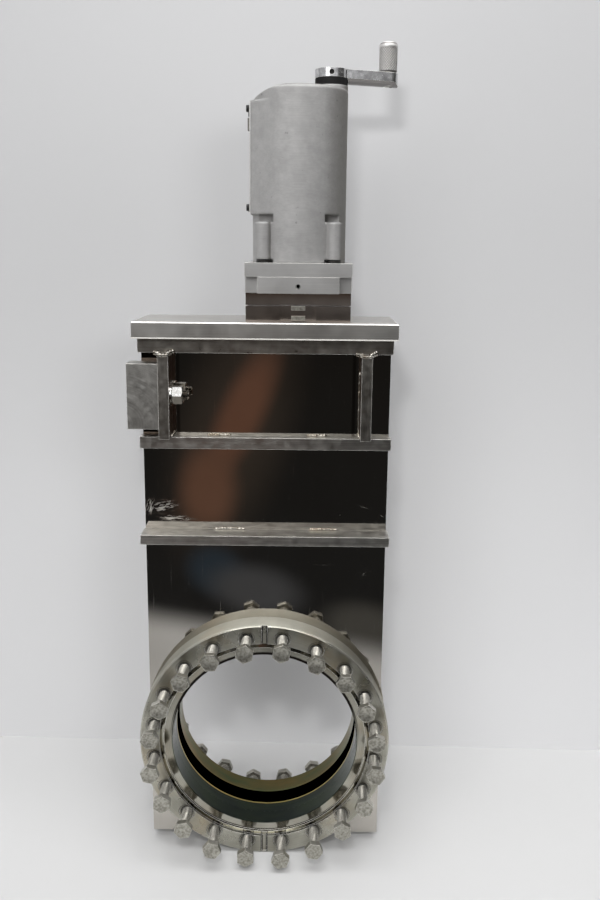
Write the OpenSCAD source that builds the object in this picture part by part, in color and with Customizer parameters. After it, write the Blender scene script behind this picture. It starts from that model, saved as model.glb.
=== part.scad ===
// Ultra-high-vacuum gate valve with a hand crank.
//
// Frame: the origin is the centre of the back flange's face, which bolts to the
// chamber. X points right, Y points back out of that face and Z points up. The
// port runs along Y, so the front flange's face lies at Y = -face_to_face.

/* [Port] */
// Inside diameter of the port
bore_d = 150.6; // [140:0.1:160]
// Distance between the two flange faces
face_to_face = 70; // [66:1:90]

/* [Flanges] */
// Radial width of each flange, from the port to the rim
flange_w = 25.9; // [24:0.1:30]
// How far a flange stands out from the body
flange_t = 18.7; // [15:0.1:20]
// Chamfer on the flange rims
flange_chamfer = 1; // [0.2:0.1:2]
// Distance from the port to the tip of the knife edge
knife_offset = 6.7; // [6:0.1:7.2]
// Distance from the tip of the knife edge to the wall of the gasket recess
recess_offset = 3.75; // [3.3:0.05:4]
// Depth of the gasket recess at its wall
recess_depth = 2.7; // [2:0.1:3.5]
// Depth of the knife edge's tip below the face
knife_depth = 1.4; // [1:0.1:1.8]
// Width of the knife edge's steep inner flank
knife_flank = 0.2; // [0.1:0.05:0.4]
// Depth of the flat ring inside the knife edge
inner_ring_depth = 3.4; // [2.5:0.1:4]
// Width of the leak-check grooves
groove_w = 4.6; // [2:0.1:6]
// Depth of the leak-check grooves
groove_depth = 1.6; // [0.5:0.1:2]
// Land left at the rim by the lower leak-check groove
groove_land = 0.6; // [0.3:0.1:2]

/* [Flange bolts] */
// Number of bolts in each flange
bolt_count = 20; // [16:2:20]
// Distance from the flange's rim to the bolt circle
bolt_edge = 10.7; // [10:0.1:12]
// Diameter of the bolt shanks
bolt_d = 8; // [6:0.1:8.5]
// Diameter of the bolt holes
bolt_hole_d = 9; // [8.8:0.1:9.4]
// Diameter of the worn ring round each hole
hole_ring_d = 13; // [11:0.1:13.6]
// Depth of the worn ring round each hole
hole_ring_depth = 0.4; // [0.2:0.1:1]
// Size of the bolt heads across their flats
bolt_head_af = 13; // [10:0.1:13]
// Height of the bolt heads
bolt_head_h = 5.3; // [3:0.1:6]
// Width of the chamfer that leaves a round face on a bolt head
bolt_head_edge = 0.4; // [0.1:0.1:1]
// How far a bolt reaches into its hole
bolt_grip = 16; // [8:0.5:17]
// Free shank between the flange and the bolt head
bolt_free = 21.6; // [12:0.1:26]
// Largest difference in free shank between bolts
bolt_uneven = 1.6; // [0:0.1:3]
// Angle by which each bolt is turned further than the last
bolt_turn = 37; // [0:1:60]
// Step of the sine by which the bolts' heads stand out unevenly
bolt_uneven_step = 137; // [90:1:180]

/* [Body] */
// Distance from the port's centre up to the bottom of the top flange
body_top = 315.6; // [280:0.1:340]
// Thickness of the front plate
front_plate_t = 6; // [4:0.1:8]
// Thickness of the back plate
back_plate_t = 3; // [2:0.1:8]
// Radial width of the seat ring behind the front plate
seat_w = 9; // [6:0.1:10]
// Thickness of the seat ring
seat_t = 8.6; // [4:0.1:9]
// Chamfer on the seat ring's inner edge, towards the gate
seat_chamfer = 1.5; // [0.5:0.1:3]
// Clearance between the seat ring and the bars round it
seat_gap = 0.3; // [0.1:0.1:1]
// Thickness of the side bars between the plates
side_bar_t = 10.5; // [6:0.1:14]
// Thickness of the bottom bar between the plates
bottom_bar_t = 9; // [6:0.1:12]

/* [Ribs] */
// How far the ribs stand out past each side of the body
rib_over = 1.1; // [0:0.1:4]
// Height of the middle rib's bottom above the port's centre
mid_rib_z = 242; // [225:0.1:250]
// Thickness of the middle rib
mid_rib_t = 8.9; // [6:0.1:12]
// How far the middle rib stands out
mid_rib_out = 10; // [6:0.1:18]
// Height of the lower rib's bottom above the port's centre
low_rib_z = 167.6; // [120:0.1:180]
// Thickness of the lower rib
low_rib_t = 7.4; // [6:0.1:12]
// How far the lower rib stands out
low_rib_out = 19; // [10:0.1:20]
// Distance from the body's sides to the upright ribs
upright_inset = 15.1; // [8:0.1:24]
// Thickness of the upright ribs
upright_t = 8; // [6:0.1:10]
// How far the upright ribs stand out
upright_out = 19.5; // [14:0.1:22]

/* [Top flange and bonnet] */
// Height of the body's top flange
top_flange_h = 10.2; // [6:0.1:14]
// How far the top flange stands out in front and behind
top_flange_out = 10; // [4:0.1:16]
// Thickness of the gasket under the bonnet plate
bonnet_gasket_t = 1.2; // [0.5:0.1:3]
// How far the gasket is set back from the top flange's edges
bonnet_gasket_inset = 2.5; // [1:0.1:4]
// How far the bonnet plate stands out past each end of the top flange
bonnet_over = 2.3; // [0:0.1:6]
// How far the bonnet plate stands out in front of the top flange and behind it
bonnet_out = 11.2; // [4:0.1:16]
// Thickness of the bonnet plate
bonnet_t = 12.4; // [8:0.1:16]
// Chamfer on the bonnet plate's upper edges
bonnet_chamfer = 0.8; // [0.2:0.1:1.5]

/* [Side block] */
// Width of the block beside the left upright rib
block_w = 23.5; // [16:0.5:30]
// Height of the block
block_h = 49.5; // [30:0.5:56]
// Gap between the middle rib and the block
block_gap = 7.7; // [1:0.1:8.5]
// Depth of the block
block_d = 19; // [14:0.5:19]
// Height of the bolt's axis above the block's bottom
block_bolt_rise = 25; // [12:0.5:36]
// Diameter of the bolt through the block and the rib
block_bolt_d = 8; // [6:0.1:10]
// Diameter of the bolt's round head
block_head_d = 13; // [11:0.1:14]
// Size of its nut across the flats
block_nut_af = 13; // [10:0.1:17]
// Thickness of its nut
block_nut_t = 8; // [5:0.1:9]
// Diameter of its washer
block_washer_d = 17; // [13:0.1:18]
// Thickness of its washer
block_washer_t = 1.6; // [1:0.1:2]
// Thread that stands out past the nut
block_bolt_out = 4.6; // [1:0.1:8]
// Clearance round the bolt and its head, on the radius
block_bolt_fit = 0.2; // [0.1:0.1:0.5]

/* [Actuator base] */
// Distance of the actuator's axis to the right of the port's centre
actuator_x = 24.2; // [0:0.1:40]
// How far the neck and the base plates stand out past each side of the housing
base_side = 4.15; // [3:0.05:8]
// How far the base plates stand out in front of the housing and behind it
base_front = 3; // [2:0.1:6]
// Depth of the neck blocks
neck_d = 48; // [30:0.5:60]
// Height of the lower neck block, with the slit above it
neck_lower_h = 12.2; // [10:0.1:16]
// Height of the upper neck block
neck_upper_h = 9.2; // [6:0.1:14]
// Slit between the neck blocks
neck_slit = 0.8; // [0.3:0.1:1.5]
// Width of the pocket in the front of the neck
pocket_w = 27; // [20:0.5:34]
// Depth of the pocket in the front of the neck
pocket_d = 5; // [3:0.1:8]
// Width of the bars in the neck's pocket
neck_bar_w = 10.4; // [6:0.1:14]
// Height of the bars in the neck's pocket
neck_bar_h = 3; // [2:0.1:4]
// How far the bars are set back from the neck's front, and from the pocket's ends
neck_bar_inset = 1; // [0.5:0.1:2]
// Thickness of the lower base plate
lower_base_h = 11.8; // [8:0.1:16]
// Thickness of the upper base plate
upper_base_h = 10; // [6:0.1:14]
// Width of the notched corners of the lower base plate
corner_w = 9.4; // [6:0.1:12]
// Depth of the notched corners of the lower base plate
corner_d = 8; // [5:0.1:12]
// Diameter of the vent hole in the lower base plate
vent_d = 3; // [2:0.1:4]
// Depth of the vent hole
vent_depth = 12; // [6:0.5:20]
// Height of the vent hole above the lower base plate's bottom
vent_rise = 5; // [3:0.1:8]

/* [Actuator housing] */
// Diameter of the housing
housing_d = 70; // [66:0.1:80]
// Height of the housing
housing_h = 123.4; // [100:0.1:140]
// Radius of the housing's upper edge
housing_edge_r = 2.5; // [1:0.1:6]
// Radius of the slope in the housing's top on the left
crown_r = 56; // [50:0.5:80]
// Distance from the axis to where that slope starts
crown_x = 9; // [4:0.1:16]
// Height of the crown's cylinder above the housing's flat top
crown_lift = 0.15; // [0.05:0.05:0.5]
// How far the housing's flat left side stands out past the round body
flat_side_out = 0.6; // [0.2:0.1:5]
// Depth of the housing's flat left side
flat_side_d = 36; // [30:0.5:50]
// How far the flat side's top is below the housing's top
flat_side_drop = 9.5; // [4:0.1:16]
// Height of the screw pockets' roofs above the base
foot_pocket_h = 34.5; // [24:0.5:45]
// Diameter of the screw pockets
foot_pocket_d = 16; // [14:0.1:18]
// Diameter of the screw columns inside the pockets
foot_column_d = 12; // [8:0.1:13]
// Gap between a screw column and its pocket's roof
foot_column_gap = 5.5; // [2:0.1:8]
// Distance of the base screws from the housing's sides, in X and Y
foot_inset = 9; // [8:0.1:10]
// Diameter of the base screws' heads
foot_screw_d = 10; // [7:0.1:11]
// Height of the base screws' heads
foot_screw_h = 2.4; // [1.5:0.1:4]
// Clearance of the housing round and over the base screws' heads
foot_screw_gap = 0.2; // [0.1:0.1:1]

/* [Side cover] */
// Thickness of the cover on the flat side
cover_t = 1; // [0.5:0.1:2]
// How far the cover is set back from the flat side's edges
cover_inset = 1; // [0.5:0.1:4]
// Diameter of the cover's screw heads
cover_screw_d = 5; // [4:0.1:8]
// Height of the cover's screw heads
cover_screw_h = 2.4; // [1.5:0.1:4]
// Distance of the cover's screws from its edges
cover_screw_inset = 4; // [3.5:0.1:8]
// Height of the indicator tab on the cover
tab_h = 8.4; // [5:0.1:14]
// How far the indicator tab stands out
tab_out = 1.2; // [0.8:0.1:4]
// Thickness of the indicator tab
tab_t = 6; // [3:0.1:10]
// Distance from the cover's top to the tab's top
tab_drop = 11; // [8:0.1:30]

/* [Crank] */
// Distance of the crank's axis from the housing's right side
crank_inset = 12.4; // [12.2:0.1:23]
// Diameter of the crank's boss on the housing
boss_d = 24.4; // [20:0.1:24.6]
// Height of the boss above the housing
boss_h = 3; // [1:0.1:6]
// How far the boss runs down into the housing's rounded edge
boss_sunk = 3.5; // [1:0.1:6]
// Diameter of the black bearing disc
disc_d = 24; // [20:0.1:24.4]
// Height of the black bearing disc
disc_h = 5; // [3:0.1:8]
// Gap between the bearing disc and the crank arm
crank_gap = 0.3; // [0.2:0.1:1]
// Diameter of the crank's shaft
shaft_d = 9; // [6:0.1:10]
// Clearance round the shaft in the bearing disc, on the radius
shaft_fit = 0.3; // [0.2:0.1:0.5]
// Diameter of the crank arm's hub
hub_d = 24; // [18:0.1:26]
// Height of the crank arm's hub
arm_h = 6.2; // [5:0.1:12]
// Width of the crank arm
arm_w = 15; // [12:0.1:18]
// How far the arm's rounded underside hangs below the hub
arm_belly = 3.3; // [1:0.1:3.5]
// Distance between the crank's axis and the knob's axis
arm_length = 44.6; // [40:0.1:80]
// Direction of the crank arm, from the right towards the back
arm_angle = 18.5; // [0:0.5:45]
// Diameter of the arm's set screw
set_screw_d = 3.6; // [3:0.1:5]
// Angle between the set screw and the line square to the arm
set_screw_angle = 18.5; // [0:0.5:40]
// How far the set screw is sunk in the hub
set_screw_sunk = 1; // [0.3:0.1:3]

/* [Knob] */
// Diameter of the knob
knob_d = 13.8; // [11:0.1:18]
// Length of the knob
knob_l = 21; // [16:0.5:40]
// Radius of the knob's upper edge
knob_edge_r = 3.6; // [1:0.1:5]
// Chamfer of the knob's lower edge
knob_chamfer = 0.5; // [0.2:0.1:1]
// Thickness of the knob above its pin
knob_roof = 4; // [2:0.1:6]
// Diameter of the pin in the knob
pin_d = 5; // [4:0.1:6]
// Diameter of the pin's head under the arm
pin_head_d = 6.4; // [6:0.1:8]
// Height of the pin's head
pin_head_h = 1; // [0.6:0.1:1.4]
// How far the pin's head is sunk in the arm's underside
pin_head_sunk = 0.6; // [0.1:0.1:1.5]
// Diameter of the pin's collar under the knob
collar_d = 10; // [8:0.1:12]
// Height of the pin's collar
collar_h = 1; // [0.5:0.1:2]
// Running clearance between the knob and its pin, on the radius
knob_clearance = 0.08; // [0.03:0.01:0.1]

/* [Hidden] */

// Facets of medium, small and large round shapes
$fn = 96;
small_fn = 32;
large_fn = 180;
// Angle between the points of a rounded edge, and points along the arm's rounded underside
edge_step = 15;
belly_steps = 12;
// How far a cut runs past the face that it opens
cut = 1;

// Diameters round the port
flange_d = bore_d + 2 * flange_w;
knife_d = bore_d + 2 * knife_offset;
recess_d = knife_d + 2 * recess_offset;
bolt_circle_d = flange_d - 2 * bolt_edge;
seat_d = bore_d + 2 * seat_w;
// Size of the body round the seat ring
body_w = seat_d + 2 * (seat_gap + side_bar_t);
body_bottom = seat_d / 2 + seat_gap + bottom_bar_t;
body_h = body_bottom + body_top;
rib_w = body_w + 2 * rib_over;
upright_x = body_w / 2 - upright_inset - upright_t / 2;
cavity_w = body_w - 2 * side_bar_t;
// Planes of the body along the port
mid_y = -face_to_face / 2;
front_y = -face_to_face;
body_front_y = front_y + flange_t;
body_back_y = -flange_t;
body_t = body_back_y - body_front_y;
cavity_front_y = body_front_y + front_plate_t;
cavity_back_y = body_back_y - back_plate_t;
cavity_t = cavity_back_y - cavity_front_y;
// Plan of the top flange, its gasket and the bonnet plate
top_flange_d = body_t + 2 * top_flange_out;
gasket_w = rib_w - 2 * bonnet_gasket_inset;
gasket_d = top_flange_d - 2 * bonnet_gasket_inset;
bonnet_w = rib_w + 2 * bonnet_over;
bonnet_d = top_flange_d + 2 * bonnet_out;
// Side block and its bolt
block_x = -upright_x - upright_t / 2 - block_w;
block_z = mid_rib_z + mid_rib_t + block_gap;
block_bolt_y = body_front_y - block_d / 2;
block_bolt_z = block_z + block_bolt_rise;
block_hole_d = block_bolt_d + 2 * block_bolt_fit;
washer_x = -upright_x + upright_t / 2;
nut_x = washer_x + block_washer_t;
// Heights of the stack, from the top flange up to the knob
bonnet_gasket_z = body_top + top_flange_h;
bonnet_z = bonnet_gasket_z + bonnet_gasket_t;
neck_lower_z = bonnet_z + bonnet_t;
neck_upper_z = neck_lower_z + neck_lower_h;
lower_base_z = neck_upper_z + neck_upper_h;
upper_base_z = lower_base_z + lower_base_h;
housing_z = upper_base_z + upper_base_h;
housing_top = housing_z + housing_h;
disc_z = housing_top + boss_h;
arm_z = disc_z + disc_h + crank_gap;
collar_z = arm_z + arm_h;
knob_z = collar_z + collar_h + crank_gap;
// Plan of the base plates, the housing and its screws
housing_r = housing_d / 2;
flat_side_x = housing_r + flat_side_out;
crank_x = housing_r - crank_inset;
base_w = housing_d + 2 * base_side;
base_d = housing_d + 2 * base_front;
foot_xy = housing_r - foot_inset;
foot_column_z = foot_screw_h + foot_screw_gap;
foot_column_top = foot_pocket_h - foot_column_gap;
// Side cover, as tall as the flat side behind it
cover_x = actuator_x - flat_side_x - cover_t;
cover_w = flat_side_d - 2 * cover_inset;
cover_z = housing_z + foot_pocket_h + cover_inset;
cover_h = housing_h - flat_side_drop - foot_pocket_h - 2 * cover_inset;
// Knob and its pin
knob_bore_d = pin_d + 2 * knob_clearance;
pin_head_z = -arm_belly + pin_head_sunk;
pin_top = arm_h + collar_h + knob_l - knob_roof;

// ---- helpers -----------------------------------------------------------------

// A box given by its centre in X, its front, its bottom and its three sizes.
module slab(cx, y0, z0, w, d, h) {
    translate([cx - w / 2, y0, z0]) cube([w, d, h]);
}

// A box centred on the port's middle plane.
module mid_slab(cx, z0, w, d, h) {
    slab(cx, mid_y - d / 2, z0, w, d, h);
}

// A solid cylinder along Y that starts at y0 and runs towards the back.
module along_y(y0, length, dia) {
    translate([0, y0, 0]) rotate([-90, 0, 0]) cylinder(h = length, d = dia);
}

// Puts children that are drawn for the front half on the back half instead.
module behind() {
    translate([0, 2 * mid_y, 0]) mirror([0, 1, 0]) children();
}

// Moves children drawn round the actuator's axis, from the housing's bottom, into place.
module at_housing() {
    translate([actuator_x, mid_y, housing_z]) children();
}

// Copies the children to the four screw places round the actuator's axis.
module at_feet() {
    at_housing() for (sx = [-1, 1], sy = [-1, 1]) translate([sx * foot_xy, sy * foot_xy, 0]) children();
}

// Moves children drawn round the crank's axis, with the arm along +X, into place.
module at_crank() {
    translate([actuator_x + crank_x, mid_y, 0]) rotate(arm_angle) children();
}

// Moves children drawn along +Z to the side block's bolt, starting at x.
module at_block_bolt(x) {
    translate([x, block_bolt_y, block_bolt_z]) rotate([0, 90, 0]) children();
}

// A hexagonal prism along Z with the given size across its flats.
module hexagon(across_flats, h) {
    cylinder(h = h, d = across_flats / cos(30), $fn = 6);
}

// ---- flanges ------------------------------------------------------------------

// Half section of a flange: x is the radius and y the depth below its face.
module flange_section() {
    outer = flange_d / 2;
    c = flange_chamfer;
    polygon([
        [bore_d / 2, inner_ring_depth], [knife_d / 2, inner_ring_depth],
        [knife_d / 2 + knife_flank, knife_depth], [recess_d / 2, recess_depth],
        [recess_d / 2, 0], [outer - c, 0], [outer, c],
        [outer, flange_t], [bore_d / 2, flange_t]
    ]);
}

// Places children at every bolt hole, with their Z axis out of the front face.
module at_flange_bolts() {
    for (i = [0 : bolt_count - 1]) {
        $bolt = i;
        rotate([0, (i + 0.5) * 360 / bolt_count, 0])
            translate([0, front_y, bolt_circle_d / 2]) rotate([90, 0, 0]) children();
    }
}

// The two leak-check grooves: the upper one opens at the rim, the lower one stops short of it.
module leak_check_grooves() {
    lower_r = flange_d / 2 - flange_chamfer - groove_land;
    slab(0, front_y - cut, recess_d / 2 - cut, groove_w, groove_depth + cut, flange_d / 2);
    slab(0, front_y - cut, -lower_r, groove_w, groove_depth + cut, lower_r - recess_d / 2 + cut);
}

// The front flange, in place.
module flange() {
    difference() {
        translate([0, front_y, 0]) rotate([-90, 0, 0]) rotate_extrude($fn = large_fn) flange_section();
        at_flange_bolts() {
            translate([0, 0, -flange_t - cut])
                cylinder(h = flange_t + 2 * cut, d = bolt_hole_d, $fn = small_fn);
            translate([0, 0, -hole_ring_depth])
                cylinder(h = hole_ring_depth + cut, d = hole_ring_d, $fn = small_fn);
        }
        leak_check_grooves();
    }
}

// The cone that takes the corners off a hexagonal bolt head, as a solid of revolution.
module head_chamfer() {
    tip = bolt_head_af / 2 - bolt_head_edge;
    corner = bolt_head_af / 2 / cos(30);
    drop = (corner - tip) * tan(30);
    rotate_extrude($fn = small_fn)
        polygon([[0, 0], [corner + cut, 0], [corner + cut, bolt_head_h - drop - cut * tan(30)],
                 [tip, bolt_head_h], [0, bolt_head_h]]);
}

// A hexagon-head bolt along Z: its shank starts at -grip and its head at free.
module hex_bolt(free) {
    translate([0, 0, -bolt_grip]) cylinder(h = bolt_grip + free, d = bolt_d, $fn = small_fn);
    translate([0, 0, free]) intersection() {
        hexagon(bolt_head_af, bolt_head_h);
        head_chamfer();
    }
}

// All bolts of the front flange, each turned and screwed in by a slightly different amount.
module flange_bolts() {
    at_flange_bolts() rotate(bolt_turn * $bolt)
        hex_bolt(bolt_free + bolt_uneven * sin(bolt_uneven_step * $bolt));
}

module front_flange() { color("#b9b4a6") flange(); }
module back_flange() { color("#b9b4a6") behind() flange(); }
module front_flange_bolts() { color("#a9a59b") flange_bolts(); }
module back_flange_bolts() { color("#a9a59b") behind() flange_bolts(); }

// ---- body ------------------------------------------------------------------------

// A plate of the body with the port's bore through it.
module bored_plate(y0, t) {
    difference() {
        slab(0, y0, -body_bottom, body_w, t, body_h);
        along_y(y0 - cut, t + 2 * cut, bore_d);
    }
}

module front_plate() { color("#4a423c") bored_plate(body_front_y, front_plate_t); }
module back_plate() { color("#4a423c") bored_plate(cavity_back_y, back_plate_t); }

// A side bar between the plates; side is -1 for the left and 1 for the right.
module side_bar(side) {
    slab(side * (body_w - side_bar_t) / 2, cavity_front_y, -body_bottom, side_bar_t, cavity_t, body_h);
}

module left_bar() { color("#6b655e") side_bar(-1); }
module right_bar() { color("#6b655e") side_bar(1); }
module bottom_bar() {
    color("#6b655e") slab(0, cavity_front_y, -body_bottom, cavity_w, cavity_t, bottom_bar_t);
}

// The ring that the gate closes on, with a chamfer on its inner edge.
module seat_ring() {
    inner = bore_d / 2;
    color("#8c7a3c") translate([0, cavity_front_y, 0]) rotate([-90, 0, 0]) rotate_extrude($fn = large_fn)
        polygon([[inner, 0], [seat_d / 2, 0], [seat_d / 2, seat_t],
                 [inner + seat_chamfer, seat_t], [inner, seat_t - seat_chamfer]]);
}

// ---- ribs --------------------------------------------------------------------------

module middle_rib() {
    slab(0, body_front_y - mid_rib_out, mid_rib_z, rib_w, mid_rib_out, mid_rib_t);
}

module lower_rib() {
    slab(0, body_front_y - low_rib_out, low_rib_z, rib_w, low_rib_out, low_rib_t);
}

// The two upright ribs of one side, between the middle rib and the top flange.
module upright_ribs() {
    z0 = mid_rib_z + mid_rib_t;
    for (side = [-1, 1])
        slab(side * upright_x, body_front_y - upright_out, z0, upright_t, upright_out, body_top - z0);
}

module middle_rib_front() { color("#7c7872") middle_rib(); }
module middle_rib_back() { color("#7c7872") behind() middle_rib(); }
module lower_rib_front() { color("#7c7872") lower_rib(); }
module lower_rib_back() { color("#7c7872") behind() lower_rib(); }
module upright_ribs_front() {
    color("#7c7872") difference() {
        upright_ribs();
        block_bolt_hole();
    }
}
module upright_ribs_back() { color("#7c7872") behind() upright_ribs(); }

// ---- top flange and bonnet -------------------------------------------------------

// The opening above the body's cavity, through a piece that is h high from z0.
module top_opening(z0, h) {
    slab(0, cavity_front_y, z0 - cut, cavity_w, cavity_t, h + 2 * cut);
}

module top_flange() {
    color("#7c7872") difference() {
        mid_slab(0, body_top, rib_w, top_flange_d, top_flange_h);
        top_opening(body_top, top_flange_h);
    }
}

module bonnet_gasket() {
    color("#b5ada0") difference() {
        mid_slab(0, bonnet_gasket_z, gasket_w, gasket_d, bonnet_gasket_t);
        top_opening(bonnet_gasket_z, bonnet_gasket_t);
    }
}

// A rectangle w wide and h high, centred in X, with its two upper corners cut by c.
module chamfered_top(w, h, c) {
    polygon([[-w / 2, 0], [w / 2, 0], [w / 2, h - c], [w / 2 - c, h], [-w / 2 + c, h], [-w / 2, h - c]]);
}

module bonnet_plate() {
    color("#93908a") translate([0, mid_y, bonnet_z]) intersection() {
        translate([-bonnet_w / 2, 0, 0]) rotate([90, 0, 90])
            linear_extrude(bonnet_w) chamfered_top(bonnet_d, bonnet_t, bonnet_chamfer);
        translate([0, bonnet_d / 2 + cut, 0]) rotate([90, 0, 0])
            linear_extrude(bonnet_d + 2 * cut) chamfered_top(bonnet_w, bonnet_t, bonnet_chamfer);
    }
}

// ---- side block ------------------------------------------------------------------

// Clearance hole for the bolt through the block and the rib.
module block_bolt_hole() {
    at_block_bolt(block_x - cut)
        cylinder(h = block_w + upright_t + 2 * cut, d = block_hole_d, $fn = small_fn);
}

module side_block() {
    color("#8a8883") difference() {
        translate([block_x, body_front_y - block_d, block_z]) cube([block_w, block_d, block_h]);
        block_bolt_hole();
        // counterbore for the bolt's head
        at_block_bolt(block_x - cut)
            cylinder(h = block_bolt_d + cut, d = block_head_d + 2 * block_bolt_fit, $fn = small_fn);
    }
}

module side_block_washer() {
    color("#b5b2ac") at_block_bolt(washer_x) difference() {
        cylinder(h = block_washer_t, d = block_washer_d, $fn = small_fn);
        translate([0, 0, -cut]) cylinder(h = block_washer_t + 2 * cut, d = block_hole_d, $fn = small_fn);
    }
}

// The nut has a corner towards the front.
module side_block_nut() {
    color("#c8c5be") at_block_bolt(nut_x) difference() {
        rotate(30) hexagon(block_nut_af, block_nut_t);
        translate([0, 0, -cut]) cylinder(h = block_nut_t + 2 * cut, d = block_hole_d, $fn = small_fn);
    }
}

// Socket-head bolt: the head sits in the block's counterbore.
module side_block_bolt() {
    end_x = nut_x + block_nut_t + block_bolt_out;
    color("#a9a59b") at_block_bolt(block_x) {
        cylinder(h = block_bolt_d, d = block_head_d, $fn = small_fn);
        cylinder(h = end_x - block_x, d = block_bolt_d, $fn = small_fn);
    }
}

// ---- neck and base plates --------------------------------------------------------

// A neck block with the pocket in its front and the same pocket in its back.
module neck_block(z0, h) {
    difference() {
        mid_slab(actuator_x, z0, base_w, neck_d, h);
        for (side = [-1, 1])
            translate([actuator_x, mid_y + side * neck_d / 2, z0 + h / 2])
                cube([pocket_w, 2 * pocket_d, h + 2 * cut], center = true);
    }
}

module neck_lower() { color("#4a3f39") neck_block(neck_lower_z, neck_lower_h - neck_slit); }
module neck_upper() { color("#4a3f39") neck_block(neck_upper_z, neck_upper_h); }

// The two lock bars that show in the front pocket.
module neck_bars() {
    z0 = neck_lower_z + neck_bar_inset;
    z1 = neck_upper_z - neck_slit - neck_bar_h;
    color("#b5b2ac") for (z = [z0, z1])
        slab(actuator_x, mid_y - neck_d / 2 + neck_bar_inset, z,
             neck_bar_w, pocket_d - neck_bar_inset, neck_bar_h);
}

module lower_base() {
    corner_z = lower_base_z + lower_base_h / 2;
    color("#a3a19c") difference() {
        mid_slab(actuator_x, lower_base_z, base_w, base_d, lower_base_h);
        for (sx = [-1, 1], sy = [-1, 1])
            translate([actuator_x + sx * base_w / 2, mid_y + sy * base_d / 2, corner_z])
                cube([2 * corner_w, 2 * corner_d, lower_base_h + 2 * cut], center = true);
        translate([actuator_x, mid_y - base_d / 2 - cut, lower_base_z + vent_rise])
            rotate([-90, 0, 0]) cylinder(h = vent_depth + cut, d = vent_d, $fn = small_fn);
    }
}

module upper_base() {
    color("#a3a19c") mid_slab(actuator_x, upper_base_z, base_w, base_d, upper_base_h);
}

// The screws whose heads stand on the base under the housing's columns.
module base_screws() {
    color("#2f2c2a") at_feet() cylinder(h = foot_screw_h, d = foot_screw_d, $fn = small_fn);
}

// ---- housing ---------------------------------------------------------------------

// Round body with a rounded upper edge, drawn round its own axis.
module housing_drum() {
    r = housing_r;
    e = housing_edge_r;
    rotate_extrude($fn = large_fn)
        polygon(concat([[0, 0], [r, 0]],
            [for (a = [0 : edge_step : 90]) [r - e + e * cos(a), housing_h - e + e * sin(a)]],
            [[0, housing_h]]));
}

// What the slope takes off the top on the left: all above a cylinder that lies along Y.
module crown_cut() {
    depth = housing_d + 2 * cut;
    crown_run = sqrt(2 * crown_r * crown_lift);
    difference() {
        translate([-housing_r - cut, -depth / 2, housing_h - flat_side_drop - housing_edge_r])
            cube([housing_r + cut - crown_x, depth, flat_side_drop + housing_edge_r + cut]);
        translate([crown_run - crown_x, -depth / 2 - cut, housing_h - crown_r + crown_lift])
            rotate([-90, 0, 0]) cylinder(h = depth + 2 * cut, r = crown_r, $fn = large_fn);
    }
}

// Plan of the flat side: its face, and walls that run on into the drum at a tangent.
module flat_side_plan() {
    far = norm([flat_side_x, flat_side_d / 2]);
    touch = 180 - atan2(flat_side_d / 2, flat_side_x) - acos(housing_r / far);
    x1 = housing_r * cos(touch);
    y1 = housing_r * sin(touch);
    y = flat_side_d / 2;
    polygon([[-flat_side_x, -y], [x1, -y1], [0, 0], [x1, y1], [-flat_side_x, y]]);
}

// A casting. Above each screw column, a pocket lets a driver reach the screw.
module housing() {
    color("#8f8e8a") difference() {
        union() {
            at_housing() {
                difference() {
                    housing_drum();
                    crown_cut();
                }
                translate([0, 0, foot_pocket_h])
                    linear_extrude(housing_h - flat_side_drop - foot_pocket_h) flat_side_plan();
                translate([crank_x, 0, housing_h - boss_sunk])
                    cylinder(h = boss_sunk + boss_h, d = boss_d, $fn = large_fn);
            }
            at_feet() translate([0, 0, foot_column_z])
                cylinder(h = foot_column_top - foot_column_z, d = foot_column_d);
        }
        at_feet() {
            translate([0, 0, foot_column_top])
                cylinder(h = foot_pocket_h - foot_column_top, d = foot_pocket_d);
            translate([0, 0, -cut]) cylinder(h = foot_column_z + cut, d = foot_pocket_d);
        }
    }
}

// ---- side cover -------------------------------------------------------------------

module side_cover() {
    color("#8f8e8a") translate([cover_x, mid_y - cover_w / 2, cover_z])
        cube([cover_t, cover_w, cover_h]);
}

module side_cover_screws() {
    color("#3a3836") for (sy = [-1, 1], z = [cover_screw_inset, cover_h - cover_screw_inset])
        translate([cover_x, mid_y + sy * (cover_w / 2 - cover_screw_inset), cover_z + z])
            rotate([0, -90, 0]) cylinder(h = cover_screw_h, d = cover_screw_d, $fn = small_fn);
}

module indicator_tab() {
    tab_z = cover_z + cover_h - tab_drop - tab_h;
    color("#55534f") translate([cover_x - tab_out, mid_y - cover_w / 2, tab_z])
        cube([tab_out, tab_t, tab_h]);
}

// ---- crank ------------------------------------------------------------------------

module bearing_disc() {
    color("#1c1b1a") at_crank() translate([0, 0, disc_z]) difference() {
        cylinder(h = disc_h, d = disc_d);
        translate([0, 0, -cut]) cylinder(h = disc_h + 2 * cut, d = shaft_d + 2 * shaft_fit);
    }
}

// The shaft stands in the bearing disc and carries the arm.
module crank_shaft() {
    color("#b5b2ac") at_crank() translate([0, 0, disc_z + shaft_fit])
        cylinder(h = arm_z + arm_h - disc_z - shaft_fit - cut, d = shaft_d);
}

// Cross-section of the arm: flat sides and top, and an underside rounded to a circular arc.
module arm_section() {
    half = arm_w / 2;
    r = (half * half + arm_belly * arm_belly) / (2 * arm_belly);
    reach = asin(half / r);
    polygon(concat([[half, arm_h], [-half, arm_h]],
        [for (i = [0 : belly_steps]) let (a = -reach + 2 * reach * i / belly_steps)
            [r * sin(a), r - arm_belly - r * cos(a)]]));
}

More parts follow.
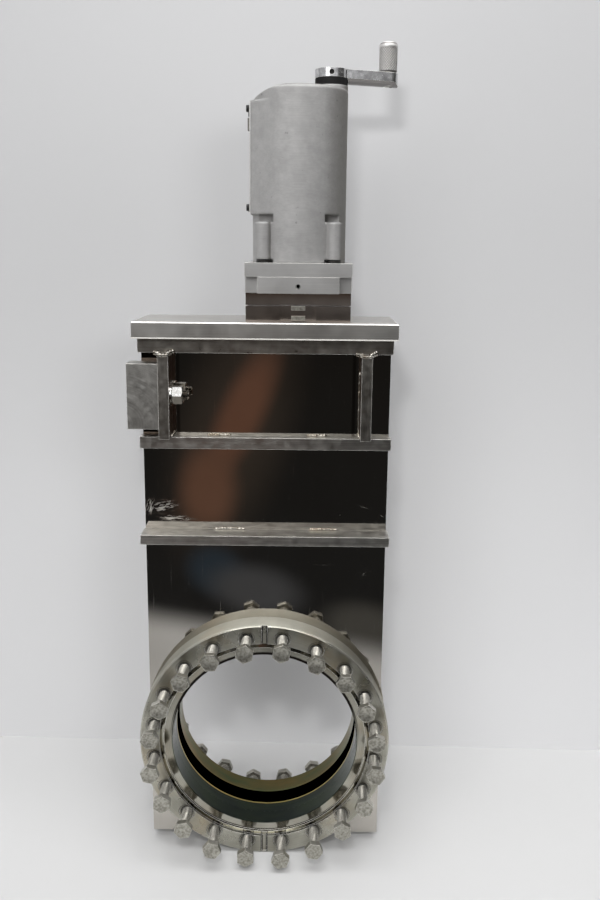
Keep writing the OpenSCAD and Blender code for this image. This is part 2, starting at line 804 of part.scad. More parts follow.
// The arm's bar from the crank's axis to its round end, hollowed out round the bearing disc.
module arm_bar() {
    difference() {
        intersection() {
            translate([0, 0, -arm_belly - cut]) union() {
                translate([arm_length, 0, 0]) cylinder(h = arm_belly + arm_h + 2 * cut, d = arm_w);
                translate([0, -arm_w / 2 - cut, 0])
                    cube([arm_length, arm_w + 2 * cut, arm_belly + arm_h + 2 * cut]);
            }
            rotate([90, 0, 90]) linear_extrude(arm_length + arm_w) arm_section();
        }
        translate([0, 0, -arm_belly - cut]) cylinder(h = arm_belly + cut, d = disc_d + 2 * shaft_fit);
    }
}

module crank_arm() {
    color("#c9c8c4") at_crank() translate([0, 0, arm_z]) difference() {
        union() {
            cylinder(h = arm_h, d = hub_d);
            arm_bar();
        }
        translate([0, 0, -cut]) cylinder(h = arm_h, d = shaft_d);
        translate([arm_length, 0, -arm_belly - cut]) {
            cylinder(h = arm_belly + arm_h + 2 * cut, d = pin_d);
            cylinder(h = pin_head_sunk + pin_head_h + cut, d = pin_head_d + 2 * shaft_fit);
        }
        translate([0, 0, arm_h / 2]) rotate(-set_screw_angle) rotate([90, 0, 0])
            cylinder(h = hub_d, d = set_screw_d, $fn = small_fn);
    }
}

module crank_set_screw() {
    color("#3a3836") at_crank() rotate(-set_screw_angle)
        translate([0, -hub_d / 2 + set_screw_sunk, arm_z + arm_h / 2]) rotate([-90, 0, 0])
            cylinder(h = (hub_d - shaft_d) / 2 - set_screw_sunk, d = set_screw_d, $fn = small_fn);
}

// The pin of the knob: a head under the arm, a collar on it and the pin itself.
module crank_pin() {
    color("#9b988f") at_crank() translate([arm_length, 0, arm_z]) {
        translate([0, 0, pin_head_z]) cylinder(h = pin_head_h, d = pin_head_d);
        translate([0, 0, pin_head_z]) cylinder(h = pin_top - pin_head_z, d = pin_d);
        translate([0, 0, arm_h]) cylinder(h = collar_h, d = collar_d);
    }
}

module crank_knob() {
    r = knob_d / 2;
    e = knob_edge_r;
    c = knob_chamfer;
    color("#aaa8a2") at_crank() translate([arm_length, 0, knob_z]) difference() {
        rotate_extrude() polygon(concat([[0, 0], [r - c, 0], [r, c]],
            [for (a = [0 : edge_step : 90]) [r - e + e * cos(a), knob_l - e + e * sin(a)]],
            [[0, knob_l]]));
        translate([0, 0, -cut]) cylinder(h = knob_l - knob_roof + cut, d = knob_bore_d);
    }
}

front_plate();
back_plate();
left_bar();
right_bar();
bottom_bar();
seat_ring();
front_flange();
back_flange();
front_flange_bolts();
back_flange_bolts();
middle_rib_front();
middle_rib_back();
lower_rib_front();
lower_rib_back();
upright_ribs_front();
upright_ribs_back();
top_flange();
bonnet_gasket();
bonnet_plate();
side_block();
side_block_bolt();
side_block_nut();
side_block_washer();
neck_lower();
neck_upper();
neck_bars();
lower_base();
upper_base();
base_screws();
housing();
side_cover();
side_cover_screws();
indicator_tab();
bearing_disc();
crank_shaft();
crank_arm();
crank_set_screw();
crank_pin();
crank_knob();
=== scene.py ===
"""A dressed vacuum gate valve with a crank-driven actuator, in a plain studio.

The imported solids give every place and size. This file adds the finishes, the threaded fasteners,
the weld beads, the knurled knob and the studio. The classes hold their sizes in millimetres, and
Shell.build() turns them into metres.
"""
import logging
import math
from dataclasses import dataclass, field
from enum import Enum
from functools import cached_property, reduce

import bpy
import numpy as np
from mathutils import Matrix, Vector


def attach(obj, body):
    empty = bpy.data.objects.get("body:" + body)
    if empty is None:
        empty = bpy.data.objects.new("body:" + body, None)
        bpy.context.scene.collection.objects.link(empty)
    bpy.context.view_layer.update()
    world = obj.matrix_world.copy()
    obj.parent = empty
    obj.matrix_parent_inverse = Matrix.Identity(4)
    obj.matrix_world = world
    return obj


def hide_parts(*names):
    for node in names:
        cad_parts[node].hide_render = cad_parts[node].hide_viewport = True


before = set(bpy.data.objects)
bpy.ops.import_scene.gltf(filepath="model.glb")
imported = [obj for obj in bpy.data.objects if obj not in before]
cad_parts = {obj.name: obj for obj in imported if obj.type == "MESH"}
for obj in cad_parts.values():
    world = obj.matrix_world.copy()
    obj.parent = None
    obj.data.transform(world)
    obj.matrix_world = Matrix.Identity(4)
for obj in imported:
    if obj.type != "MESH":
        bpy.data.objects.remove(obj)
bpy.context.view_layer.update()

LOG = logging.getLogger("gate_valve")
MM = 0.001
TURN = 2 * math.pi
# Length of a straight machining mark, in millimetres
STROKE = 90.0

Socket = bpy.types.NodeSocket
Point = tuple[float, float, float]
# How much of a colour lies at a point, from 0 to 1, and the colour
Coat = tuple[Socket, "str | Socket"]


class Body(Enum):
    """The parts of the valve that move as one."""

    VALVE = "valve"
    CRANK = "crank"
    KNOB = "knob"


class Lay(Enum):
    """Direction of a machined surface's marks."""

    GRIT = "none, as blasted or cast"
    ALONG_X = "X"
    ALONG_Z = "Z"
    ROUND_PORT = "rings round the port, as turned on a lathe"


# ---- helpers ---------------------------------------------------------------------------


def linear(code: str) -> tuple[float, float, float, float]:
    """Turns an sRGB hex value into the linear colour that Blender works in.

    Args:
        code: The colour, such as "#c8c4ba".

    Returns:
        Linear red, green and blue, with an alpha of 1.
    """
    channels = [int(code[i:i + 2], 16) / 255 for i in (1, 3, 5)]
    return (*(c / 12.92 if c <= 0.04045 else ((c + 0.055) / 1.055) ** 2.4 for c in channels), 1.0)


@dataclass
class Canvas:
    """A node tree that is being filled.

    Attributes:
        tree: The tree.
    """

    tree: bpy.types.NodeTree

    def add(self, kind: str, values: tuple | dict = (), out: str | None = None,
            **settings: str | int) -> Socket | None:
        """Adds one node.

        Args:
            kind: The node's type without its prefix, such as "TexNoise".
            values: What its inputs get, in their order or by their names: a number, a vector, a
                hex colour, or the output socket that feeds it.
            out: Name of the output that is wanted, where it isn't the first.
            **settings: The node's own properties.

        Returns:
            The output socket, or None for a node that has none.
        """
        node = self.tree.nodes.new("ShaderNode" + kind)
        for key, setting in settings.items():
            setattr(node, key, setting)
        inputs = [socket for socket in node.inputs if socket.enabled]
        for key, value in values.items() if isinstance(values, dict) else enumerate(values):
            socket = node.inputs[key] if isinstance(key, str) else inputs[key]
            if isinstance(value, Socket):
                self.tree.links.new(value, socket)
            else:
                socket.default_value = linear(value) if isinstance(value, str) else value
        return node.outputs[out] if out else next((socket for socket in node.outputs if socket.enabled), None)

    @cached_property
    def place(self) -> Socket:
        """The point on the surface, in metres."""
        return self.add("TexCoord", out="Object")

    @cached_property
    def parts(self) -> tuple[Socket, Socket, Socket]:
        """That point's X, Y and Z."""
        return tuple(self.add("SeparateXYZ", (self.place,)).node.outputs)

    @cached_property
    def normal(self) -> Socket:
        """The direction that the surface faces."""
        return self.add("NewGeometry", out="Normal")

    @cached_property
    def from_port(self) -> Socket:
        """The point's distance from the port's axis, in metres."""
        return self.distance()

    def distance(self, centre: Point = (0.0, 0.0, 0.0), across: Point = (1.0, 0.0, 1.0)) -> Socket:
        """The distance from a line, in metres: the length of the offset with its part along the line at 0.

        Args:
            centre: A point on the line, in millimetres.
            across: 1 for each axis across the line, and 0 for the one along it.

        Returns:
            The socket with the distance.
        """
        offset = self.place
        if any(centre):
            offset = self.add("VectorMath", (offset, [part * MM for part in centre]), operation="SUBTRACT")
        flat = self.add("VectorMath", (offset, across), operation="MULTIPLY")
        return self.add("VectorMath", (flat,), operation="LENGTH")

    def distance_from_bolt(self, count: int, circle: float) -> Socket:
        """The distance from the nearest bolt's axis, in metres.

        The angle round the port's axis, in steps from one bolt to the next, gives the distance
        along the bolt circle from the nearest bolt. With the distance from the circle, that gives
        the distance from the bolt's axis.

        Args:
            count: Number of bolts on the circle.
            circle: Radius of the bolt circle, in millimetres.

        Returns:
            The socket with the distance.
        """
        x, _, z = self.parts
        half = TURN / count / 2
        angle = self.add("Math", (x, z), operation="ARCTAN2")
        angle = self.add("Math", (angle, half), operation="ADD")
        angle = self.add("Math", (angle, -half, half), operation="WRAP")
        along = self.add("Math", (angle, circle * MM), operation="MULTIPLY")
        across = self.add("Math", (self.from_port, circle * MM), operation="SUBTRACT")
        offset = self.add("CombineXYZ", (along, across))
        return self.add("VectorMath", (offset,), operation="LENGTH")

    def drift(self, size: float | Point, low: float, high: float, span: tuple[float, float] = (0.3, 0.7),
              detail: float = 3.0, place: Socket | None = None) -> Socket:
        """A value that wanders over the surface between two levels.

        Args:
            size: Size of the patches in millimetres, the same each way or along X, Y and Z.
            low: The level where the noise is at the start of its span.
            high: The level where it is at the end.
            span: The stretch of the noise that becomes low to high; a narrow one gives hard edges.
            detail: How many finer layers of noise lie in the patches.
            place: The point that it follows, if not the one on the surface.

        Returns:
            The socket with the value.
        """
        sizes = size if isinstance(size, tuple) else (size,) * 3
        point = self.place if place is None else place
        scaled = self.add("Mapping", {"Vector": point, "Scale": [1 / (part * MM) for part in sizes]})
        noise = self.add("TexNoise", {"Vector": scaled, "Scale": 1.0, "Detail": detail, "Roughness": 0.55})
        return self.add("MapRange", (noise, *span, low, high))

    def strokes(self, way: Socket, pitch: float, detail: float) -> Socket:
        """Noise over one distance, divided by the pitch of the marks in millimetres."""
        steps = self.add("Math", (way, 1 / (pitch * MM)), operation="MULTIPLY")
        return self.add("TexNoise", {"W": steps, "Scale": 1.0, "Detail": detail}, noise_dimensions="1D")

    def ellipse(self, centre: tuple[float, float], reach: tuple[float, float], lean: float,
                fall: str) -> tuple[Socket, Socket]:
        """A soft ellipse that faces the front.

        Args:
            centre: Its centre from left to right and upwards, in metres.
            reach: Its half width and half height, in metres.
            lean: Its lean to the left, in degrees.
            fall: How its strength falls off, as the gradient's name.

        Returns:
            The point from its centre, in its half sizes, and its strength there.
        """
        at = self.add("Mapping", (self.place, (centre[0], 0.0, centre[1]), (0.0, math.radians(lean), 0.0),
                                  (reach[0], 1.0, reach[1])), vector_type="TEXTURE")
        flat = self.add("VectorMath", (at, (1.0, 0.0, 1.0)), operation="MULTIPLY")
        return at, self.add("TexGradient", (flat,), out="Fac", gradient_type=fall)

    def layered(self, base: Socket, coats: list[Coat]) -> Socket:
        """Lays coats of colour over a base, each over the ones before it.

        Args:
            base: The base's colour.
            coats: The coats, the lowest first.

        Returns:
            The colour on top.
        """
        for amount, colour in coats:
            base = self.add("Mix", (amount, base, colour), data_type="RGBA")
        return base

    def seen_rays(self) -> Socket:
        """1 for a ray from the camera, or one that metal or glass sends on from it, and 0 for lamp light."""
        kinds = [self.add("LightPath", out=f"Is {kind} Ray") for kind in ("Camera", "Glossy", "Transmission")]
        return reduce(lambda seen, kind: self.add("Math", (seen, kind), operation="MAXIMUM"), kinds)


# ---- finishes --------------------------------------------------------------------------


@dataclass(frozen=True)
class HeatTint:
    """The colours that heat leaves on the wall of the port's bore.

    Attributes:
        radius: Distance from the axis up to which they reach.
        front: The bore's two colours in front of the gate, in drifting patches.
        back: The two behind it.
        gate_y: Where the gate stands.
        patch: Size of the patches.
    """

    radius: float = 75.8
    front: tuple[str, str] = ("#3c4540", "#475243")
    back: tuple[str, str] = ("#9d8a57", "#79845a")
    gate_y: float = -30.0
    patch: Point = (40.0, 16.0, 60.0)

    def coat(self, on: Canvas) -> Coat:
        """The tint, where the surface is near enough to the port's axis.

        Args:
            on: The material's canvas.

        Returns:
            The coat.
        """
        patch = on.drift(self.patch, 0.0, 1.0, (0.38, 0.62), 2.0)
        front, back = (on.add("Mix", (patch, *pair), data_type="RGBA") for pair in (self.front, self.back))
        behind = on.add("Math", (on.parts[1], self.gate_y * MM), operation="GREATER_THAN")
        inside = on.add("Math", (on.from_port, self.radius * MM), operation="LESS_THAN")
        return inside, on.add("Mix", (behind, front, back), data_type="RGBA")


@dataclass(frozen=True)
class Mark:
    """A scuffed place on a sheet, seen from the front.

    Attributes:
        x: Centre from left to right.
        z: Height of the centre.
        length: Its whole length.
        width: Its whole width.
        angle: Its slope in degrees, rising to the right.
        strength: How much of the polish is gone; over 1, its soft edge is worn away too.
        grain: Size of the scratches in it along and across its length.
    """

    x: float
    z: float
    length: float
    width: float
    angle: float
    strength: float
    grain: tuple[float, float] = (6.0, 0.8)

    def mask(self, on: Canvas) -> Socket:
        """The scuff's strength: a soft ellipse, broken up into scratches along its length.

        Args:
            on: The material's canvas.

        Returns:
            The strength, from 0 to 1.
        """
        at, soft = on.ellipse((self.x * MM, self.z * MM), (self.length * MM / 2, self.width * MM / 2),
                              -self.angle, "QUADRATIC_SPHERE")
        # The ellipse's own point runs from -1 to 1, so the grain is a share of its half sizes
        grain = (self.grain[0] / self.length * 2 / MM, 1000.0, self.grain[1] / self.width * 2 / MM)
        broken = on.drift(grain, 0.0, self.strength, (0.46, 0.6), place=at)
        return on.add("Math", (soft, broken), operation="MULTIPLY", use_clamp=True)


@dataclass(frozen=True)
class Finish:
    """What a surface is made of and how it was finished."""

    name: str

    def material(self) -> bpy.types.Material:
        """The finish as a material, made once and shared by all its pieces.

        Returns:
            The material.
        """
        made = bpy.data.materials.get(self.name)
        if made is None:
            made = bpy.data.materials.new(self.name)
            made.use_nodes = True
            made.node_tree.nodes.clear()
            on = Canvas(made.node_tree)
            on.add("OutputMaterial", {"Surface": self.surface(on)})
        return made

    def surface(self, on: Canvas) -> Socket:
        """Builds the shader; each kind of finish has its own."""
        raise NotImplementedError

    def dress(self, *nodes: str) -> None:
        """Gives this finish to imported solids.

        Args:
            *nodes: Their names.
        """
        for node in nodes:
            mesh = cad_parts[node].data
            mesh.materials.clear()
            mesh.materials.append(self.material())
        LOG.info("%s on %s", self.name, ", ".join(nodes))


@dataclass(frozen=True)
class Metal(Finish):
    """A bare metal.

    Attributes:
        light: The colour of its clean places.
        dark: The colour of its duller places.
        roughness: How much it scatters a reflection.
        spread: How far the roughness wanders from that.
        cloud: Size of the lighter and darker places.
        lay: Direction of its machining marks.
        pitch: Spacing of the marks.
        depth: Depth of the marks.
        line_tone: How much darker a mark's bottom is, from 0 to 1.
        anisotropy: How much the marks stretch a reflection across themselves.
        edge: Radius that its edges are rounded to; 0 where the shape has its own chamfers.
        edge_tone: Colour of the worn line along them, which is partly wear and partly a painted highlight, or
            None for a casting's soft edges.
        metallic: Less than 1 where a matt film covers part of the metal.
        worn_rough: Roughness of the worn line.
        worn_metallic: How metallic it is; scratches in all directions leave it pale and half matt.
        worn_from: Cosines of the eased normal's turn where the line starts and where it is full.
    """

    light: str
    dark: str
    roughness: float
    spread: float = 0.05
    cloud: float = 18.0
    lay: Lay = Lay.GRIT
    pitch: float = 0.6
    depth: float = 0.004
    line_tone: float = 0.15
    anisotropy: float = 0.0
    edge: float = 0.45
    edge_tone: str | None = "#f2f0ea"
    metallic: float = 1.0
    worn_rough: float = 0.5
    worn_metallic: float = 0.35
    worn_from: tuple[float, float] = (0.99, 0.9)

    def worn(self, on: Canvas, on_edge: Socket) -> Socket:
        """How worn the surface is, which also lays the painted edge highlight; as a rule, only along its
        edges.
        """
        return on_edge

    def coats(self, on: Canvas) -> list[Coat]:
        """What lies over the bare metal; as a rule, nothing."""
        return []

    def marks(self, on: Canvas) -> Socket:
        """The machining marks: noise drawn out along their direction, or over the distance from the axis.

        Args:
            on: The material's canvas.

        Returns:
            The marks' height, from 0 to 1.
        """
        if self.lay is Lay.ROUND_PORT:
            way = on.add("Math", (on.from_port, on.parts[1]), operation="ADD")
            return on.strokes(way, self.pitch, 4.0)
        size = tuple(STROKE if axis == self.lay.value else self.pitch for axis in "XYZ")
        return on.drift(size, 0.0, 1.0, (0.25, 0.75), 4.0)

    def colour(self, on: Canvas) -> Socket:
        """The bare metal's light and dark tones in soft clouds, under its coats."""
        clouds = on.drift(self.cloud, 0.0, 1.0, (0.35, 0.65), 5.0)
        return on.layered(on.add("Mix", (clouds, self.light, self.dark), data_type="RGBA"), self.coats(on))

    def scatter(self, on: Canvas) -> Socket:
        """The roughness, wandering in patches a little smaller than the clouds."""
        low, high = self.roughness - self.spread, self.roughness + self.spread
        return on.drift(self.cloud * 0.6, low, high, detail=5.0)

    def surface(self, on: Canvas) -> Socket:
        """Clouded colour, marks that darken and dent it, and eased edges with a worn line that is also a
        painted highlight, under a metallic shader.

        Args:
            on: The material's canvas.

        Returns:
            The shader.
        """
        marks = self.marks(on)
        shade = on.add("MapRange", {"Value": marks, "To Min": 1 - self.line_tone})
        toned = on.add("Mix", (1.0, self.colour(on), shade), data_type="RGBA", blend_type="MULTIPLY")
        rough, metal = self.scatter(on), self.metallic
        bump = {"Height": marks, "Distance": self.depth * MM, "Strength": 1.0}
        if self.edge:
            bump["Normal"] = on.add("Bevel", (self.edge * MM,), samples=6)
        if self.edge and self.edge_tone:
            # Where the eased normal turns away from the flat one, the surface is an edge; its lighter line is
            # partly wear and partly a painted highlight
            turned = on.add("VectorMath", (bump["Normal"], on.normal), operation="DOT_PRODUCT")
            worn = self.worn(on, on.add("MapRange", (turned, *self.worn_from)))
            toned = on.layered(toned, [(worn, self.edge_tone)])
            rough = on.add("Mix", (worn, rough, self.worn_rough))
            metal = on.add("MapRange", {"Value": worn, "To Min": self.metallic, "To Max": self.worn_metallic})
        inputs = {"Base Color": toned, "Metallic": metal, "Roughness": rough,
                  "Normal": on.add("Bump", bump), "Anisotropic": self.anisotropy}
        if self.anisotropy:
            # The tangent runs round the port and the highlight is drawn out across it
            inputs["Tangent"] = on.add("Tangent", direction_type="RADIAL", axis="Y")
            inputs["Anisotropic Rotation"] = 0.25
        return on.add("BsdfPrincipled", inputs)


@dataclass(frozen=True)
class MirrorSheet(Metal):
    """Bright-rolled stainless sheet: a mirror with a faint waviness, where handling has left scuffs.

    Attributes:
        marks_left: The scuffs.
        scratch: Size of the fine upright scratches all over it.
        scratch_share: How much of the polish they take away.
        wave: Height of the sheet's waviness.
        wave_length: Spacing of the waves.
        scuffed: Colour of the scuffs.
        scuff_rough: Roughness of the scuffs.
        tint: The bore's heat tint.
        scorch: Colour of the scorched patches.
        scorch_x: Distance from the middle of the line beside an upright.
        scorch_line: Distances from that line where the scorching starts and where it is full.
        scorch_share: How scorched the line is, and the sheet beyond the uprights on the left.
        scorch_z: Height where the scorching starts.
        upright_x: Distance from the middle to an upright's outer side.
        dark_inside: Colour of the painted shade inside the body.
        gate_room: The middle of the body's inside from front to back, and its half depth.
        room_x: Its half width.
        room_z: Its bottom.
    """

    marks_left: tuple[Mark, ...] = ()
    scratch: Point = (0.5, 0.5, 30.0)
    scratch_share: float = 0.35
    wave: float = 0.012
    wave_length: float = 60.0
    scuffed: str = "#e6e4de"
    scuff_rough: float = 0.55
    tint: HeatTint = HeatTint()
    scorch: str = "#4a3a2e"
    scorch_x: float = 67.6
    scorch_line: tuple[float, float] = (2.2, 0.4)
    scorch_share: tuple[float, float] = (0.6, 0.88)
    scorch_z: float = 250.9
    upright_x: float = 80.0
    dark_inside: str = "#0c0b0a"
    gate_room: tuple[float, float] = (-33.5, 11.9)
    room_x: float = 94.0
    room_z: float = -92.0

    def surface(self, on: Canvas) -> Socket:
        """A near mirror, whose scuffs are duller and whiter, bent a little by the waves.

        Args:
            on: The material's canvas.

        Returns:
            The shader.
        """
        masks = [mark.mask(on) for mark in self.marks_left]
        masks.append(on.drift(self.scratch, 0.0, self.scratch_share, (0.66, 0.8), 2.0))
        worn = reduce(lambda one, other: on.add("Math", (one, other), operation="MAXIMUM"), masks)
        # Scuffs, tints, scorching, and painted shade on the faces inside the body
        over = [(worn, self.scuffed), self.tint.coat(on), (self.scorched(on), self.scorch),
                (self.hidden(on), self.dark_inside)]
        colour = on.layered(self.colour(on), over)
        rough = on.add("MapRange", {"Value": worn, "To Min": self.roughness, "To Max": self.scuff_rough})
        waves = on.drift(self.wave_length, 0.0, 1.0, (0.0, 1.0), 1.0)
        waved = on.add("Bump", {"Height": waves, "Distance": self.wave * MM, "Strength": 1.0})
        return on.add("BsdfPrincipled", {"Base Color": colour, "Metallic": 1.0, "Roughness": rough,
                                         "Normal": waved})

    def scorched(self, on: Canvas) -> Socket:
        """How scorched the sheet is: in a line beside each upright, and round the side block's bolt.

        Args:
            on: The material's canvas.

        Returns:
            The share, from 0 to 1.
        """
        x, _, z = on.parts
        aside = on.add("Math", (x,), operation="ABSOLUTE")
        off = on.add("Math", (aside, self.scorch_x * MM), operation="SUBTRACT")
        off = on.add("Math", (off,), operation="ABSOLUTE")
        start, full = self.scorch_line
        line = on.add("MapRange", (off, start * MM, full * MM, 0.0, self.scorch_share[0]),
                      interpolation_type="SMOOTHSTEP")
        outside = on.add("Math", (x, -self.upright_x * MM), operation="LESS_THAN")
        outside = on.add("Math", (outside, self.scorch_share[1]), operation="MULTIPLY")
        both = on.add("Math", (line, outside), operation="MAXIMUM")
        high = on.add("Math", (z, self.scorch_z * MM), operation="GREATER_THAN")
        return on.add("Math", (both, high), operation="MULTIPLY")

    def hidden(self, on: Canvas) -> Socket:
        """Finds the faces inside the body, where the gate runs, which get painted shade.

        Args:
            on: The material's canvas.

        Returns:
            1 on those faces, and 0 elsewhere.
        """
        x, y, z = on.parts
        deep = on.add("Math", (y, *(value * MM for value in self.gate_room)), operation="COMPARE")
        aside = on.add("Math", (x,), operation="ABSOLUTE")
        within = on.add("Math", (aside, self.room_x * MM), operation="LESS_THAN")
        above = on.add("Math", (z, self.room_z * MM), operation="GREATER_THAN")
        both = on.add("Math", (within, above), operation="MULTIPLY")
        return on.add("Math", (deep, both), operation="MULTIPLY")


@dataclass(frozen=True)
class TurnedSteel(Metal):
    """Stainless turned on a lathe, with straw patches and a bore that welding heat has tinted.

    Attributes:
        straw: The faint straw tint of the faces.
        straw_patch: Size of its patches.
        straw_share: How strong it gets.
        tint: The bore's heat tint.
    """

    straw: str = "#b3a284"
    straw_patch: float = 34.0
    straw_share: float = 0.55
    tint: HeatTint = HeatTint()

    def coats(self, on: Canvas) -> list[Coat]:
        """Straw patches, and the tint inside the bore."""
        patches = on.drift(self.straw_patch, 0.0, self.straw_share, (0.5, 0.72), 2.0)
        return [(patches, self.straw), self.tint.coat(on)]


@dataclass(frozen=True)
class DrilledFlange(TurnedSteel):
    """A turned flange, with painted shade round its bolt holes, along the groove across its face and on the
    bore's upper lip.

    Attributes:
        holes: Number of bolt holes.
        circle: Radius of the bolt circle.
        ring: Inner and outer radius of the painted-shade ring round a hole.
        thinned: How far from its inner radius its painted shade is thinnest, and how much is left there.
        ring_line: Half the width of the painted-shade line at its outer radius.
        groove: Half the groove's width.
        groove_line: Half the width of the painted-shade line along the groove's wall.
        groove_start: Distance from the axis where the groove starts, at the raised ring's edge.
        soil: Colour of the painted shade.
        rim_r: Distance from the axis where the coarser turned rim starts.
        rim_rough: How much rougher the rim is than the face.
        ring_rough: How much smoother the raised ring is.
        ring_tone: Colour that the raised ring's is mixed with, and its share.
        rim_tone: Colour of the painted highlight that the rim's is mixed with, and its share.
        blend: Distance over which those tones start.
        lip: Distance from the axis up to which the ring's upper half is as dark as the painted shade.
        lip_z: Height over the axis at which that is fully so.
        clean_bore: Distance from the bore's wall up to which no edge is worn.
    """

    holes: int = 20
    circle: float = 90.5
    ring: tuple[float, float] = (4.6, 6.5)
    thinned: tuple[float, float] = (1.2, 0.25)
    ring_line: float = 0.35
    groove: float = 2.1
    groove_line: float = 0.8
    groove_start: float = 85.7
    soil: str = "#2f2b28"
    rim_r: float = 100.7
    rim_rough: float = 0.3
    ring_rough: float = 0.17
    ring_tone: tuple[str, float] = ("#8d877e", 0.1)
    rim_tone: tuple[str, float] = ("#efede2", 0.33)
    blend: float = 0.1
    lip: float = 77.4
    lip_z: float = 30.0
    clean_bore: float = 4.0

    def soiled(self, on: Canvas) -> Socket:
        """How much painted shade lies at a point.

        A hole gets painted shade at the bolt and at the ring's outer edge, and the groove where the distance
        from its middle is near its half width.

        Args:
            on: The material's canvas.

        Returns:
            The share of painted shade, from 0 to 1.
        """
        away = on.distance_from_bolt(self.holes, self.circle)
        (inner, outer), (thin, left) = self.ring, self.thinned
        near = on.add("MapRange", (away, inner * MM, (inner + thin) * MM, 1.0, left),
                      interpolation_type="SMOOTHSTEP")
        line = on.add("Math", (away, outer * MM, self.ring_line * MM), operation="COMPARE")
        hole = on.add("Math", (near, line), operation="MAXIMUM")
        within = on.add("Math", (away, (outer + self.ring_line) * MM), operation="LESS_THAN")
        hole = on.add("Math", (hole, within), operation="MULTIPLY")
        aside = on.add("Math", (on.parts[0],), operation="ABSOLUTE")
        wall = on.add("Math", (aside, self.groove * MM, self.groove_line * MM), operation="COMPARE")
        beyond = on.add("Math", (on.from_port, self.groove_start * MM), operation="GREATER_THAN")
        wall = on.add("Math", (wall, beyond), operation="MULTIPLY")
        face = on.add("Math", (on.from_port, self.rim_r * MM), operation="LESS_THAN")
        wall = on.add("Math", (wall, face), operation="MULTIPLY")
        return on.add("Math", (hole, wall), operation="MAXIMUM")

    def worn(self, on: Canvas, on_edge: Socket) -> Socket:
        """Worn along the edges, but not inside the bore.

        Args:
            on: The material's canvas.
            on_edge: How worn the edges are.

        Returns:
            The same, but 0 in and near the bore.
        """
        edge = (self.tint.radius + self.clean_bore) * MM
        outside = on.add("Math", (on.from_port, edge), operation="GREATER_THAN")
        return on.add("Math", (on_edge, outside), operation="MULTIPLY")

    def scatter(self, on: Canvas) -> Socket:
        """The roughness: coarser on the rim and finer on the raised ring.

        Args:
            on: The material's canvas.

        Returns:
            The roughness.
        """
        rim = on.add("Math", (on.from_port, self.rim_r * MM), operation="GREATER_THAN")
        ring = on.add("Math", (on.from_port, self.groove_start * MM), operation="LESS_THAN")
        rough = on.add("Math", (rim, self.rim_rough, super().scatter(on)), operation="MULTIPLY_ADD")
        return on.add("Math", (ring, -self.ring_rough, rough), operation="MULTIPLY_ADD")

    def coats(self, on: Canvas) -> list[Coat]:
        """The turned steel's own, a darker ring, a painted highlight on the rim, and painted shade round the
        holes and on the lip's upper half.

        Args:
            on: The material's canvas.

        Returns:
            The coats.
        """
        start = self.groove_start
        on_ring = on.add("MapRange", (on.from_port, start * MM, (start + self.blend) * MM,
                                      self.ring_tone[1], 0.0))
        outside = on.add("Math", (on.from_port, self.tint.radius * MM), operation="GREATER_THAN")
        on_ring = on.add("Math", (on_ring, outside), operation="MULTIPLY")
        # Painted highlight on the rim, where it catches the light from above
        on_rim = on.add("MapRange", (on.from_port, (self.rim_r - self.blend) * MM, self.rim_r * MM,
                                     0.0, self.rim_tone[1]))
        upper = on.add("MapRange", (on.parts[2], 0.0, self.lip_z * MM))
        near = on.add("Math", (on.from_port, self.lip * MM), operation="LESS_THAN")
        near = on.add("Math", (near, upper), operation="MULTIPLY")
        # Painted shade round the holes, along the groove's walls and on the bore's upper lip
        soil = on.add("Math", (near, self.soiled(on)), operation="MAXIMUM")
        return super().coats(on) + [(on_ring, self.ring_tone[0]), (on_rim, self.rim_tone[0]),
                                    (soil, self.soil)]


@dataclass(frozen=True)
class SeatRing(Metal):
    """The seat: tinted like the bore, with a thin dark line of painted shade and a thin gold line of painted
    highlight where its wall ends at the gate.

    Attributes:
        tint: The bore's heat tint.
        lines: Where each line along the wall's end starts, and its colour: the dark one painted shade, the
            gold one a painted highlight.
    """

    tint: HeatTint = HeatTint(radius=75.35)
    lines: tuple[tuple[float, str], ...] = ((-40.2, "#54401f"), (-39.5, "#ffe98f"))

    def coats(self, on: Canvas) -> list[Coat]:
        """The bore's tint on the wall, and the lines of painted shade and painted highlight at the wall's
        end.

        Args:
            on: The material's canvas.

        Returns:
            The coats.
        """
        wall = on.add("Math", (on.from_port, self.tint.radius * MM), operation="LESS_THAN")
        coats = [self.tint.coat(on)]
        for start, colour in self.lines:
            behind = on.add("Math", (on.parts[1], start * MM), operation="GREATER_THAN")
            coats.append((on.add("Math", (behind, wall), operation="MULTIPLY"), colour))
        return coats


@dataclass(frozen=True)
class LippedPlate(Metal):
    """Ground plate with a painted highlight along its lower front edge.

    Attributes:
        lip: Height up to which it gets the painted highlight.
    """

    lip: float = 328.0

    def worn(self, on: Canvas, on_edge: Socket) -> Socket:
        """Worn along the edges, and a painted highlight over the lip."""
        low = on.add("Math", (on.parts[2], self.lip * MM), operation="LESS_THAN")
        return on.add("Math", (on_edge, low), operation="MAXIMUM")


@dataclass(frozen=True)
class DullFaces(Metal):
    """Metal whose faces to one side get a painted tone of light or shade.

    Attributes:
        toward: Direction of that side.
        mirrored: Whether the left half's faces are taken as the right half's in a mirror.
        within: Least cosine between such a face's normal and that direction.
        dull: Colour of those faces.
    """

    toward: Point = (0.0, 0.0, -1.0)
    mirrored: bool = False
    within: float = 0.7
    # dull: Colour of those faces: painted shade on some finishes, a painted highlight or painted reflection
    # on others.
    dull: str = "#8f8c8a"

    def coats(self, on: Canvas) -> list[Coat]:
        """The painted tone of light or shade on the faces to that side.

        Args:
            on: The material's canvas.

        Returns:
            The coat.
        """
        turned = on.add("VectorMath", (on.normal, self.toward), operation="DOT_PRODUCT")
        if self.mirrored:
            side = on.add("Math", (on.parts[0],), operation="SIGN")
            turned = on.add("Math", (turned, side), operation="MULTIPLY")
        return [(on.add("Math", (turned, self.within), operation="GREATER_THAN"), self.dull)]


